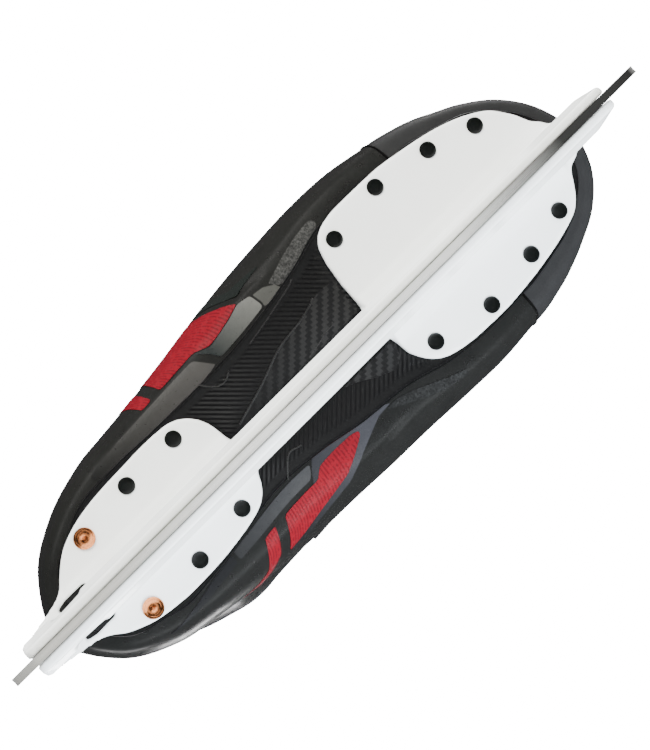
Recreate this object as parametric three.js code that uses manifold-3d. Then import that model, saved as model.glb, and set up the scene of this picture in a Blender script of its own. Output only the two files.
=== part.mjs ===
// Ice hockey skate, right foot: steel runner, moulded blade holder with a quick-release trigger,
// riveted outsole, boot shell in two quarters, toe cap, liner, padding, tongue, laces and tendon guard.
// Millimetres. +X to the toe, +Y to the left (the inner side of a right foot), +Z up.
// The origin is on the ice contact face of the runner, at the middle of its flat.
import * as THREE from "three";
import { mergeVertices } from "three/addons/utils/BufferGeometryUtils.js";
import Module from "manifold-3d";

const wasm = await Module();
wasm.setup();

// ---------------------------------------------------------------- driving dimensions
const GAP = 0.3; // clearance between pieces that touch
const RUNNER_T = 3.0; // steel thickness
const RUNNER_TOP = 24.4; // top of the steel inside the holder
const RUNNER_PIVOT = [110, 28]; // front hook, X and Z
const RUNNER_DROP_DEG = 8; // how far the steel drops when released
const HOLDER_LIP = 4.8; // half width of the holder's lips beside the steel
const HOLDER_FLARE = 7.2; // half width of the bridge at its widest
const HOLDER_WAIST = 6.2; // half width of the tower walls
const PLATE_T = 3.5; // thickness of the mounting plates
const FRONT_PLATE_TOP = 53.5;
const REAR_PLATE_TOP = 63.5;
const SOLE_T = 3.0; // outsole thickness
const SHELL_T = 3.0; // quarter thickness
const LINER_T = 2.0;
const FRONT_X = 74; // seam between toe cap and quarters
const HEEL_C = -95; // centre of the rounded heel
const TOPLINE = 197; // height of the collar at the back of the heel
const GUARD_TOP = 266; // top of the tendon guard
const TRIGGER_PIVOT = [-62, 44]; // X and Z
const EYELETS = 11; // on each side
const LACE_R = 1.35;
const RIVETS_FRONT = [
  [34.6, -33.8], [34.6, 20.5], [59.9, -37.1], [59.9, 25.7],
  [84.8, -33.3], [84.8, 22.8], [104.8, -27.4], [104.8, 18.6],
];
const RIVETS_REAR = [
  [-60.7, -23.1], [-60.7, 13.6], [-85.1, -22.8], [-85.1, 16.1],
];
const RIVETS_HEEL = [
  [-109.5, -19.8], [-109.5, 16.4],
];

// ---------------------------------------------------------------- small tools
const V = (x, y, z) => new THREE.Vector3(x, y, z);
const lerp = (a, b, t) => a + (b - a) * t;
const clamp = (x, a, b) => Math.min(b, Math.max(a, x));
const rad = (d) => (d * Math.PI) / 180;
const smooth = (t) => {
  t = clamp(t, 0, 1);
  return t * t * (3 - 2 * t);
};
// Straight-line lookup in a table sorted by its first column.
function table(rows, x, col) {
  if (x <= rows[0][0]) return rows[0][col];
  for (let i = 1; i < rows.length; i++)
    if (x <= rows[i][0])
      return lerp(rows[i - 1][col], rows[i][col], (x - rows[i - 1][0]) / (rows[i][0] - rows[i - 1][0]));
  return rows[rows.length - 1][col];
}
const cr = (a, b, c, d, t) =>
  0.5 * (2 * b + (c - a) * t + (2 * a - 5 * b + 4 * c - d) * t * t + (3 * b - a - 3 * c + d) * t * t * t);
const crV = (a, b, c, d, t) => V(cr(a.x, b.x, c.x, d.x, t), cr(a.y, b.y, c.y, d.y, t), cr(a.z, b.z, c.z, d.z, t));
const at = (list, i) =>
  i < 0
    ? list[0].clone().multiplyScalar(2).sub(list[1])
    : i >= list.length
      ? list[list.length - 1].clone().multiplyScalar(2).sub(list[list.length - 2])
      : list[i];
// A point at parameter t (0 to list.length - 1) of a smooth curve through the listed points.
function along(list, t) {
  const i = clamp(Math.floor(t), 0, list.length - 2);
  return crV(at(list, i - 1), at(list, i), at(list, i + 1), at(list, i + 2), t - i);
}

function finish(positions, triangles) {
  const g = new THREE.BufferGeometry();
  g.setAttribute("position", new THREE.Float32BufferAttribute(positions, 3));
  g.setIndex(triangles);
  const m = mergeVertices(g, 1e-4);
  const idx = m.index.array;
  const p = m.attributes.position.array;
  const keep = [];
  let volume = 0;
  for (let i = 0; i < idx.length; i += 3) {
    const [a, b, c] = [idx[i], idx[i + 1], idx[i + 2]];
    if (a === b || b === c || a === c) continue;
    keep.push(a, b, c);
    volume +=
      p[3 * a] * (p[3 * b + 1] * p[3 * c + 2] - p[3 * b + 2] * p[3 * c + 1]) -
      p[3 * a + 1] * (p[3 * b] * p[3 * c + 2] - p[3 * b + 2] * p[3 * c]) +
      p[3 * a + 2] * (p[3 * b] * p[3 * c + 1] - p[3 * b + 1] * p[3 * c]);
  }
  if (volume < 0) for (let i = 0; i < keep.length; i += 3) [keep[i + 1], keep[i + 2]] = [keep[i + 2], keep[i + 1]];
  m.setIndex(keep);
  m.computeVertexNormals();
  return m;
}

// Closed solid between two grids of points of the same size.
function gridSolid(outer, inner) {
  const n = outer.length, m = outer[0].length, pos = [], tri = [];
  const id = (k, i, j) => (k * n + i) * m + j;
  for (const g of [outer, inner]) for (const row of g) for (const p of row) pos.push(p.x, p.y, p.z);
  const quad = (a, b, c, d) => tri.push(a, b, c, a, c, d);
  for (let i = 0; i < n - 1; i++)
    for (let j = 0; j < m - 1; j++) {
      quad(id(0, i, j), id(0, i + 1, j), id(0, i + 1, j + 1), id(0, i, j + 1));
      quad(id(1, i, j), id(1, i, j + 1), id(1, i + 1, j + 1), id(1, i + 1, j));
    }
  for (let i = 0; i < n - 1; i++) {
    quad(id(0, i, 0), id(1, i, 0), id(1, i + 1, 0), id(0, i + 1, 0));
    quad(id(0, i, m - 1), id(0, i + 1, m - 1), id(1, i + 1, m - 1), id(1, i, m - 1));
  }
  for (let j = 0; j < m - 1; j++) {
    quad(id(0, 0, j), id(0, 0, j + 1), id(1, 0, j + 1), id(1, 0, j));
    quad(id(0, n - 1, j), id(1, n - 1, j), id(1, n - 1, j + 1), id(0, n - 1, j + 1));
  }
  return finish(pos, tri);
}

// Closed solid through rings of points; the end rings are capped. Rings lie in planes of constant X.
function loft(rings) {
  const n = rings.length, m = rings[0].length, pos = [], tri = [];
  for (const r of rings) for (const p of r) pos.push(p.x, p.y, p.z);
  for (let i = 0; i < n - 1; i++)
    for (let j = 0; j < m; j++) {
      const a = i * m + j, b = i * m + ((j + 1) % m), c = b + m, d = a + m;
      tri.push(a, b, c, a, c, d);
    }
  const cap = (r, base, flip) => {
    const faces = THREE.ShapeUtils.triangulateShape(r.map((p) => new THREE.Vector2(p.y, p.z)), []);
    for (const [a, b, c] of faces) flip ? tri.push(base + a, base + c, base + b) : tri.push(base + a, base + b, base + c);
  };
  // The first cap faces the other way from the last one.
  const area = THREE.ShapeUtils.area(rings[0].map((p) => new THREE.Vector2(p.y, p.z)));
  cap(rings[0], 0, area > 0 ? true : false);
  cap(rings[n - 1], (n - 1) * m, area > 0 ? false : true);
  return finish(pos, tri);
}

// Tube of round section along a list of points, with parallel-transported frames.
function tube(points, r, sides) {
  const rings = [];
  let normal = null;
  for (let i = 0; i < points.length; i++) {
    const a = points[Math.max(0, i - 1)], b = points[Math.min(points.length - 1, i + 1)];
    const t = b.clone().sub(a).normalize();
    if (!normal) normal = Math.abs(t.z) < 0.9 ? V(0, 0, 1) : V(1, 0, 0);
    normal = normal.clone().sub(t.clone().multiplyScalar(normal.dot(t))).normalize();
    const bi = t.clone().cross(normal);
    const ring = [];
    for (let k = 0; k < sides; k++) {
      const w = (2 * Math.PI * k) / sides;
      ring.push(points[i].clone().addScaledVector(normal, r * Math.cos(w)).addScaledVector(bi, r * Math.sin(w)));
    }
    rings.push(ring);
  }
  const pos = [], tri = [], n = rings.length, m = sides;
  for (const q of rings) for (const p of q) pos.push(p.x, p.y, p.z);
  for (let i = 0; i < n - 1; i++)
    for (let j = 0; j < m; j++) {
      const a = i * m + j, b = i * m + ((j + 1) % m), c = b + m, d = a + m;
      tri.push(a, b, c, a, c, d);
    }
  for (let j = 1; j < m - 1; j++) {
    tri.push(0, j + 1, j);
    tri.push((n - 1) * m, (n - 1) * m + j, (n - 1) * m + j + 1);
  }
  return finish(pos, tri);
}

// Outline in X and Z, extruded along Y between two values.
function sideExtrude(outline, y0, y1) {
  const s = new THREE.Shape(outline.map(([x, z]) => new THREE.Vector2(x, z)));
  const g = new THREE.ExtrudeGeometry(s, { depth: y1 - y0, bevelEnabled: false, steps: 1, curveSegments: 8 });
  g.rotateX(Math.PI / 2);
  g.translate(0, y1, 0);
  return plain(g);
}
// Outline in X and Y, extruded along Z.
function flatExtrude(outline, z0, z1) {
  const s = new THREE.Shape(outline.map(([x, y]) => new THREE.Vector2(x, y)));
  const g = new THREE.ExtrudeGeometry(s, { depth: z1 - z0, bevelEnabled: false, steps: 1 });
  g.translate(0, 0, z0);
  return plain(g);
}
function plain(g) {
  const q = g.index ? g.toNonIndexed() : g;
  const p = q.attributes.position.array;
  return finish(Array.from(p), [...Array(p.length / 3).keys()]);
}
// Turned solid: profile of [radius, height] pairs about Z.
function turned(profile, sides) {
  const g = new THREE.LatheGeometry(profile.map(([r, z]) => new THREE.Vector2(r, z)), sides);
  g.rotateX(Math.PI / 2);
  return plain(g);
}
const box = (x0, x1, y0, y1, z0, z1) => {
  const g = new THREE.BoxGeometry(x1 - x0, y1 - y0, z1 - z0);
  g.translate((x0 + x1) / 2, (y0 + y1) / 2, (z0 + z1) / 2);
  return plain(g);
};
const rod = (r, y0, y1, x, z, sides = 10) => {
  const g = turned([[0, y0], [r, y0], [r, y1], [0, y1]], sides);
  g.rotateX(-Math.PI / 2); // Z becomes Y
  g.translate(x, 0, z);
  return g;
};
const post = (r, z0, z1, x, y, sides = 8) => turned([[0, z0], [r, z0], [r, z1], [0, z1]], sides).translate(x, y, 0);

function solid(g) {
  const q = new THREE.BufferGeometry();
  q.setAttribute("position", g.getAttribute("position").clone());
  if (g.index) q.setIndex(Array.from(g.index.array));
  const m = mergeVertices(q, 1e-4);
  return new wasm.Manifold(
    new wasm.Mesh({ numProp: 3, vertProperties: new Float32Array(m.attributes.position.array), triVerts: new Uint32Array(m.index.array) }),
  );
}
function surface(s) {
  const m = s.getMesh();
  return finish(Array.from(m.vertProperties), Array.from(m.triVerts));
}
const cut = (g, ...tools) => surface(tools.reduce((a, t) => a.subtract(solid(t)), solid(g)));
const join = (g, ...more) => surface(more.reduce((a, t) => a.add(solid(t)), solid(g)));

// ---------------------------------------------------------------- sole levels and outlines
// Underside of the outsole: high at the heel, stepping down through the shank to the forefoot.
const soleZ = (x) => lerp(REAR_PLATE_TOP + GAP, FRONT_PLATE_TOP + GAP, smooth((x + 44) / 66));

// Toe region in polar form about (FRONT_X, 0). Angle 0 is the side, 90 the tip.
// angle, sole edge (outer side, inner side), widest (outer side, inner side)
const TOE = [
  [0, 41.5, 31.5, 53.8, 44.6],
  [15, 41.8, 32.0, 52.7, 44.8],
  [30, 43.5, 34.0, 52.8, 46.4],
  [45, 47.5, 38.5, 55.2, 49.8],
  [60, 50.5, 44.5, 59.4, 56.0],
  [75, 53.0, 50.5, 62.9, 61.8],
  [90, 54.0, 54.0, 65.2, 65.2],
];
// Quarter stations in planes of constant X.
// x, sole edge o/i, widest o/i, its z, waist o/i, its z, upper o/i, its z, top edge o/i, its z
const SIDE = [
  [74, 41.5, 31.5, 53.8, 44.6, 78, 48.5, 40.5, 90, 38, 33, 99, 24, 24, 105],
  [55, 43.5, 32, 56.9, 46.1, 80, 51, 42.5, 99, 41, 36, 114, 26, 26, 123],
  [35, 42, 30, 57.6, 45.7, 82, 52, 43, 108, 43, 39.5, 130, 28.5, 29, 144],
  [15, 37, 25, 56.7, 44.9, 85, 51, 43, 118, 44, 43, 148, 31, 33.5, 164],
  [-5, 33.5, 23, 55.1, 44.6, 88, 49, 42.5, 127, 44, 46, 165, 33.5, 38, 184],
  [-25, 31.5, 19.5, 52.6, 43.95, 92, 46, 42, 135, 44, 49, 182, 36, 42.5, 205],
  [-45, 31, 18, 49.6, 43.6, 95, 43.5, 42, 140, 44.5, 51, 192, 40, 46.5, 223],
  [-65, 31, 21, 47.0, 42.3, 95, 42, 41, 142, 45, 51, 187, 46, 52, 213],
  [-80, 31.5, 23.5, 45.3, 40.7, 95, 40.5, 39.5, 142, 44.5, 50, 180, 47, 53, 203],
  [-95, 31, 25, 43.3, 38.4, 95, 38.5, 37, 142, 42.5, 47, 175, 45.5, 50, 198.5],
];
// Heel stations in polar form about (HEEL_C, 0), angle from the side to straight back.
// angle, sole edge o/i, widest o/i, waist o/i, upper o/i, top o/i, top z
const HEEL = [
  [30, 31, 26.5, 42.0, 39.6, 38, 37, 41.2, 43, 44.5, 46.8, 197],
  [60, 35.5, 34.0, 45.8, 45.0, 38.2, 38, 39.4, 40, 42, 43, TOPLINE],
  [90, 38.5, 38.5, 51.0, 51.0, 38.5, 38.5, 37.6, 37.6, 39, 39, TOPLINE],
];
const FLANGE = 3; // how far the shell tucks in over the outsole
const SHELL_Z = SOLE_T + 0.8; // from the underside of the outsole to the underside of the shell

// Control net of the shell's outer face: NET[side][station][level], side 0 outer (-Y), 1 inner (+Y).
const NET = [0, 1].map((s) => {
  const sg = s ? 1 : -1, rows = [];
  for (const q of SIDE) {
    const x = q[0], e = q[1 + s], w = q[3 + s], z0 = soleZ(x) + SHELL_Z, zw = q[5];
    rows.push([
      V(x, sg * (e - FLANGE), z0),
      V(x, sg * lerp(e, w, 0.66), z0 + 0.2 * (zw - z0)),
      V(x, sg * w, zw),
      V(x, sg * q[6 + s], q[8]),
      V(x, sg * q[9 + s], q[11]),
      V(x, sg * q[12 + s], q[14]),
    ]);
  }
  for (const h of HEEL) {
    const a = rad(h[0]), p = (r, z) => V(HEEL_C - r * Math.sin(a), sg * r * Math.cos(a) * (h[0] === 90 ? 0 : 1), z);
    const z0 = soleZ(HEEL_C) + SHELL_Z;
    rows.push([
      p(h[1 + s] - FLANGE, z0),
      p(lerp(h[1 + s], h[3 + s], 0.66), z0 + 0.2 * (95 - z0)),
      p(h[3 + s], 95),
      p(h[5 + s], 142),
      p(h[7 + s], 175),
      p(h[9 + s], h[11]),
    ]);
  }
  return rows;
});
const LAST = NET[0].length - 1; // station at the middle of the heel

// Shell surface. u runs from 0 at the toe seam to LAST at the heel and on to 2 LAST at the toe seam
// of the other side; v runs from 0 under the foot to 1 at the top edge.
function shellPoint(u, v) {
  const row = (i) => {
    const k = Math.round(i);
    if (k < 0) return NET[0][0].map((p, j) => p.clone().multiplyScalar(2).sub(NET[0][1][j]));
    if (k > 2 * LAST) return NET[1][0].map((p, j) => p.clone().multiplyScalar(2).sub(NET[1][1][j]));
    return k <= LAST ? NET[0][k] : NET[1][2 * LAST - k];
  };
  const i = clamp(Math.floor(u), 0, 2 * LAST - 1), t = u - i, k = v * 5;
  const q = [i - 1, i, i + 1, i + 2].map((r) => along(row(r), k));
  return crV(q[0], q[1], q[2], q[3], t);
}
// Shell surface moved outwards (plus) or inwards (minus) by a distance.
function shell(u, v, off = 0) {
  const d = 0.02, e = 0.004;
  const v0 = clamp(v - e, 0, 1), v1 = clamp(v + e, 0, 1);
  const u0 = clamp(u - d, 0, 2 * LAST), u1 = clamp(u + d, 0, 2 * LAST);
  const a = shellPoint(u1, v).sub(shellPoint(u0, v));
  const b = shellPoint(u, v1).sub(shellPoint(u, v0));
  const n = a.cross(b);
  if (u < 0.01 || u > 2 * LAST - 0.01) n.setX(0); // the toe seam stays in one plane
  n.normalize();
  return { p: shellPoint(u, v).addScaledVector(n, -off * SIGN), n: n.multiplyScalar(-SIGN) };
}
// The cross product points outwards or inwards all over; this finds which, at the outer side's widest place.
const SIGN = (() => {
  const a = shellPoint(4.1, 0.4).sub(shellPoint(3.9, 0.4)), b = shellPoint(4, 0.45).sub(shellPoint(4, 0.35));
  return a.cross(b).y < 0 ? -1 : 1;
})();
const range = (a, b, n) => Array.from({ length: n + 1 }, (_, i) => lerp(a, b, i / n));
function shellSolid(us, vsOf, tOut, tIn) {
  const f = (t, u, v) => (typeof t === "function" ? t(u, v) : t);
  const grid = (t) => us.map((u) => vsOf(u).map((v) => shell(u, v, f(t, u, v)).p));
  return gridSolid(grid(tOut), grid(tIn));
}

// Outsole edge by X, for each side.
const EDGE = [0, 1].map((s) => {
  const rows = [];
  for (let a = 90; a >= 0; a -= 7.5) {
    if (a > 0) {
      const r = table(HEEL[0][0] > 0 ? [[0, SIDE[9][1 + s]], ...HEEL.map((h) => [h[0], h[1 + s]])] : [], a, 1);
      rows.push([HEEL_C - r * Math.sin(rad(a)), r * Math.cos(rad(a))]);
    }
  }
  for (const q of [...SIDE].reverse()) rows.push([q[0], q[1 + s]]);
  for (let a = 7.5; a <= 90; a += 7.5) {
    const r = table(TOE, a, 1 + s);
    const x = FRONT_X + r * Math.sin(rad(a));
    if (x > rows[rows.length - 1][0]) rows.push([x, Math.max(0, r * Math.cos(rad(a)))]);
  }
  return rows;
});
const HEEL_END = EDGE[0][0][0], TOE_END = EDGE[0][EDGE[0].length - 1][0];
// Flat plate that follows the sole: outline inset from the outsole edge, between two heights above the sole line.
function solePlate(inset, h0, h1, crown = 0) {
  const x0 = HEEL_END + inset, x1 = TOE_END - inset;
  const xs = [x0, x0 + 0.8, x0 + 3, x0 + 7, x0 + 14, x0 + 24, -95, -80, -62, -45, -34, -22, -11, 0, 11, 22, 35, 55, 74, 90, 102, x1 - 17, x1 - 11, x1 - 6, x1 - 2.5, x1 - 0.7, x1];
  const rows = (top) =>
    xs.map((x) => {
      // the inset is taken along X too, near the two ends
      const k = x < HEEL_C ? HEEL_C + ((x - HEEL_C) * (HEEL_C - HEEL_END)) / (HEEL_C - x0) : x > FRONT_X ? FRONT_X + ((x - FRONT_X) * (TOE_END - FRONT_X)) / (x1 - FRONT_X) : x;
      const half = (s) => {
        const e = table(EDGE[s], k, 1);
        const c = x < HEEL_C || x > FRONT_X ? inset * clamp(e / 30, 0, 1) : inset;
        return Math.max(0.6, e - c);
      };
      const l = -half(0), r = half(1);
      return [0, 0.5, 1].map((t) => V(x, lerp(l, r, t), soleZ(x) + (top ? h1 + (crown ? crown * 4 * (t - 0.5) ** 2 : 0) : h0)));
    });
  return gridSolid(rows(true), rows(false));
}

// ---------------------------------------------------------------- runner and holder
const rocker = (x) => Math.max(0, Math.abs(x) - 20) ** 2 / 6000; // 3 m rocker with a flat in the middle
const runnerOutline = [
  [-153.6, 9.4], [-151.2, 6.9], [-147, 4.7], [-140, 3.0],
  ...[-125, -105, -85, -62, -40, -20, 20, 40, 62, 85, 105, 120].map((x) => [x, rocker(x)]),
  [128, 2.6], [134.5, 4.4], [140.2, 7.4], [145.2, 11.4], [149.4, 16.2], [152.4, 21.0], [153.6, 24.6], [152.4, 26.6],
  [148, 26.8], [137, 26.3], [124, 25.2], [116.5, 24.6],
  // front hook
  [116.5, 28.4], [114.4, 31.0], [108.4, 31.2], [106.2, 29.6], [106.6, 27.4], [109.8, 26.9], [110.0, 24.8], [104, RUNNER_TOP],
  // rear lug that the latch holds
  [-70.5, RUNNER_TOP], [-71.2, 31.4], [-73, 33], [-78.6, 33], [-79.4, 31.6], [-76.6, 29.6], [-76.6, 27], [-80.5, RUNNER_TOP],
  [-138, RUNNER_TOP - 0.8], [-146.5, 21.5], [-152, 17.0], [-153.6, 13.0],
];
const runner = sideExtrude(runnerOutline, -RUNNER_T / 2, RUNNER_T / 2);

// Holder stations: x, underside z, top z, plate half width outer and inner side
const HOLDER = [
  [139.0, 23.6, 36.0, 4.4, 4.4], [136, 20.2, 42.4, 5.7, 5.7], [132, 18.9, 47.2, 6.6, 6.5],
  [128.6, 18.4, 51.0, 7.3, 7.1], [127, 18.2, 53.5, 8.0, 7.6], [125, 18.1, 53.5, 11.0, 8.8], [122, 18, 53.5, 14.2, 9.6],
  [119.7, 18, 53.5, 19.4, 11.6], [117.2, 18, 53.5, 23.3, 15.2], [113.6, 18, 53.5, 27.9, 19.8], [109, 18, 53.5, 31.1, 23.3],
  [101, 18, 53.5, 34.9, 25.9], [90, 18, 53.5, 38.2, 28.2], [78.5, 18, 53.5, 40.4, 29.8],   [52, 18, 53.5, 42.5, 30.7], [43, 18, 53.5, 42.4, 29.9], [35.5, 18, 53.5, 41.2, 28.2], [31, 18, 53.5, 39.0, 25.9],
  [28, 18, 53.5, 35.3, 22.9], [25.8, 18, 53.5, 28.5, 19.4], [24.4, 18, 53.5, 19.5, 16.2], [23.7, 18, 53.5, 9.5, 9.5],
  [22.6, 18, 51.2, 7.4, 7.4], [20.4, 18, 46.2, 7.2, 7.2], [17, 18, 41.2, 7.1, 7.1],   [5, 18, 34.8, 7.0, 7.0], [-4, 18, 34.0, 7.0, 7.0], [-30, 18, 34.2, 7.0, 7.0], [-37, 18, 36.2, 7.0, 7.0],
  [-41, 18, 40.2, 7.1, 7.1], [-43.6, 18, 46.5, 7.2, 7.2], [-45.2, 18, 55.5, 7.3, 7.3], [-45.9, 18, 63.5, 9.2, 7.4],
  [-46.9, 18, 63.5, 16.6, 8.4], [-48.6, 18, 63.5, 21.2, 11.7], [-51, 18, 63.5, 24.5, 14.8], [-54.6, 18, 63.5, 27.4, 17.5],
  [-60.5, 18, 63.5, 29.2, 19.5], [-76, 18, 63.5, 29.6, 22.0], [-92, 18, 63.5, 28.7, 22.7],   [-105, 18, 63.5, 27.1, 21.9], [-112, 18, 63.5, 25.2, 20.6], [-122.8, 18, 63.5, 19.1, 16.2],
  [-126.6, 18, 63.5, 15.6, 13.2], [-129.6, 18, 63.0, 12.6, 11.4], [-133, 18, 59.0, 10.8, 10.2], [-137.5, 18, 51.5, 9.4, 9.2],
  [-142, 18.2, 42.5, 8.2, 8.2], [-145.4, 19.0, 34.0, 7.2, 7.2], [-147, 20.4, 29.4, 6.4, 6.4],
];
function holderHalf(zb, zt, w, fillet) {
  const lip = Math.min(HOLDER_LIP, w - 0.6), waist = Math.min(HOLDER_WAIST, w - 1.0);
  const flare = Math.min(HOLDER_FLARE, w + 0.2), H = zt - zb;
  const zWaist = zb + Math.min(14, 0.62 * H), zFlare = zb + Math.min(8.5, 0.38 * H);
  const tp = Math.min(PLATE_T, 0.12 * H), zp = zt - tp;
  const R = Math.max(0.12, Math.min(fillet, w - 0.7 - waist - 0.05, zp - zWaist - 0.2)), zf = zp - R;
  const pts = [[lip, zb], [lip + 0.4, zb + 0.12 * H > zFlare ? zFlare - 0.5 : zb + Math.min(2, 0.1 * H)], [flare, zFlare], [waist, zWaist], [waist, zf]];
  for (const a of [45, 90]) pts.push([waist + R * (1 - Math.cos(rad(a))), zf + R * Math.sin(rad(a))]);
  pts.push([w - 0.5, zp + 0.02], [w, zp + 0.18 * tp + 0.1], [w, zt - 0.18 * tp], [w - 0.6, zt]);
  return pts;
}
const holderRings = HOLDER.map(([x, zb, zt, wl, wm]) => [
  ...holderHalf(zb, zt, wm, x > 0 ? 8 : 3.9).map(([y, z]) => V(x, y, z)),
  ...holderHalf(zb, zt, wl, 8).reverse().map(([y, z]) => V(x, -y, z)),
]);
const slotHalf = RUNNER_T / 2 + 0.35;
const [PX, PZ] = RUNNER_PIVOT;
const slot = sideExtrude(
  [[-170, 5], [160, 5], [160, 34.5], [141, 32.2], [119, 28.6], [118.2, 32.4], [102.6, 32.4], [102.6, 25.2], [-68.6, 25.2], [-68.6, 34.4], [-82.4, 34.4], [-82.4, 25.2], [-170, 25.2]],
  -slotHalf,
  slotHalf,
);
const [TX, TZ] = TRIGGER_PIVOT;
const triggerPocket = box(-69.5, -30, -4.7, 4.7, 37.4, 58.6);
const latchPocket = box(-84.5, -69, -3.6, 3.6, 33.2, 47);
const heelSlots = [-1, 1].map((s) => {
  const o = [[-134.2, 6.1], [-131.5, 5.7], [-120.4, 6.3], [-119.8, 7.1], [-121.5, 8.4], [-130.5, 8.5], [-134.2, 7.4]];
  return flatExtrude(s > 0 ? o : o.map(([x, y]) => [x, -y]).reverse(), 10, 70);
});
const allRivets = [...RIVETS_FRONT, ...RIVETS_REAR, ...RIVETS_HEEL];
const SHANK_R = 2.0, HOLE_R = 2.35;
const rivetHoles = (z0, z1) => allRivets.map(([x, y]) => post(HOLE_R, z0, z1, x, y, 8));
const bladeHolder = cut(
  loft(holderRings),
  slot, triggerPocket, latchPocket, ...heelSlots,
  rod(1.85, -12, 12, TX, TZ, 10),
  ...rivetHoles(42, 80),
);

const trigger = cut(
  sideExtrude(
    [[-66.4, 42.2], [-64.2, 40.2], [-60, 39.8], [-55, 41.8], [-50, 45.2], [-46, 50], [-43.6, 55.6], [-45.2, 57.2], [-47.4, 56.2], [-50.2, 51.6], [-54.6, 48.6], [-60, 48.2], [-64.6, 47.8], [-66.8, 45.4]],
    -3.9,
    3.9,
  ),
  rod(1.85, -6, 6, TX, TZ, 10),
);
const triggerPin = rod(1.5, -5.9, 5.9, TX, TZ, 10);
// leaf that presses the lug of the steel home, its forward end hooked under the trigger's tail
const latchSpring = sideExtrude(
  [[-82.6, 37.4], [-79, 34.4], [-73, 34.4], [-69.4, 38.6], [-67.3, 42.4], [-67.9, 42.9], [-70.4, 39.4], [-73.6, 35.3], [-78.6, 35.3], [-82, 38.2]],
  -2.6,
  2.6,
);

// ---------------------------------------------------------------- rivets
const blackRivet = (x, y, zPlate, zTop) =>
  turned([[0, zPlate - 1.0], [1.9, zPlate - 0.9], [3.0, zPlate - 0.5], [3.3, zPlate - GAP], [SHANK_R, zPlate - GAP], [SHANK_R, zTop], [0, zTop]], 8).translate(x, y, 0);
const copperRivet = (x, y, zPlate, zTop) =>
  turned([[0, zPlate - 1.7], [1.3, zPlate - 2.3], [2.7, zPlate - 2.0], [3.9, zPlate - 1.0], [4.1, zPlate - GAP], [SHANK_R, zPlate - GAP], [SHANK_R, zTop], [0, zTop]], 8).translate(x, y, 0);

// ---------------------------------------------------------------- boot
const outsole = cut(solePlate(0, 0, SOLE_T), ...rivetHoles(45, 80));
const insoleBoard = cut(solePlate(5.6, SOLE_T + GAP, SOLE_T + 2.1), ...rivetHoles(45, 80));
const footbed = solePlate(9.0, SOLE_T + 3.6, SOLE_T + 7.4, 1.6);

// eyelets sit on the facings, from just behind the toe cap to the top of the throat
const EYE_EDGE = 7.6; // distance of the eyelets from the edge of the facing
const eyeU = (s, i) => {
  // station number from X along the facing
  const x = lerp(66.5, -39.5, i / (EYELETS - 1));
  const u = (74 - x) / 19.83;
  return s ? 2 * LAST - u : u;
};
const eyeV = (u) => 1 - (0.2 * EYE_EDGE) / shellPoint(u, 1).distanceTo(shellPoint(u, 0.8));
const eyeFrame = (s, i) => shell(eyeU(s, i), eyeV(eyeU(s, i)), 0);
function eyeHole(s, i, r) {
  const f = eyeFrame(s, i);
  const g = turned([[0, -9], [r, -9], [r, 9], [0, 9]], 6);
  g.applyQuaternion(new THREE.Quaternion().setFromUnitVectors(V(0, 0, 1), f.n));
  g.translate(f.p.x, f.p.y, f.p.z);
  return g;
}
function eyelet(s, i) {
  const f = eyeFrame(s, i), o = 1.9; // outer face of the facing
  const g = turned([[2.3, -SHELL_T + 0.2], [2.8, -SHELL_T + 0.2], [2.8, o + 0.3], [4.3, o + 0.3], [4.0, o + 1.0], [2.3, o + 1.0], [2.3, -SHELL_T + 0.2]], 6);
  g.applyQuaternion(new THREE.Quaternion().setFromUnitVectors(V(0, 0, 1), f.n));
  g.translate(f.p.x, f.p.y, f.p.z);
  return g;
}
const holes = (s) => [...Array(EYELETS).keys()].map((i) => eyeHole(s, i, 3.2));
// Every layer of the boot uses the same stations and rows, so that the layers nest.
const GRID_U = [0, 1, 2, 3, 4, 5, 6, 6.6, 7.5, 9, 9.6, 10.2, 10.8, 11.4, 12];
const GRID_V = [0, 0.1, 0.2, 0.3, 0.4, 0.52, 0.66, 0.8, 0.89, 0.945, 1];
const FULL_U = [...GRID_U, ...GRID_U.slice(0, -1).reverse().map((u) => 2 * LAST - u)];
const rows = (v0, v1) => GRID_V.filter((v) => v > v0 - 1e-6 && v < v1 + 1e-6);
const oneSide = (s, u0, u1) => {
  const us = GRID_U.filter((u) => u > u0 - 1e-6 && u < u1 + 1e-6).map((u) => (s ? 2 * LAST - u : u)).map((u) => (u === LAST ? LAST + (s ? 0.008 : -0.008) : u));
  return s ? us.reverse() : us;
};
const quarter = (s) => cut(shellSolid(oneSide(s, 0, 12), () => rows(0, 1), 0, -SHELL_T), ...holes(s));
const eyestay = (s) => cut(shellSolid(oneSide(s, 0, 6), () => rows(0.8, 1), 1.9 - GAP, GAP), ...holes(s));
const liner = shellSolid(FULL_U, () => rows(0, 0.8), -SHELL_T - GAP, -SHELL_T - GAP - LINER_T);
const padT = (u, v) => {
  const t = clamp((v - 0.66) / (1 - 0.66), 0, 1), e = clamp(Math.min(u - 6.6, 17.4 - u) / 0.7, 0, 1);
  return -SHELL_T - 2 * GAP - LINER_T - (0.9 + 5.0 * Math.sqrt(Math.sin(Math.PI * clamp(t, 0.03, 0.97))) * Math.sqrt(clamp(e, 0.05, 1)));
};
const collarPadding = shellSolid(FULL_U.filter((u) => u > 6.5 && u < 17.5), () => rows(0.66, 1), -SHELL_T - 2 * GAP - LINER_T, padT);

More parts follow.
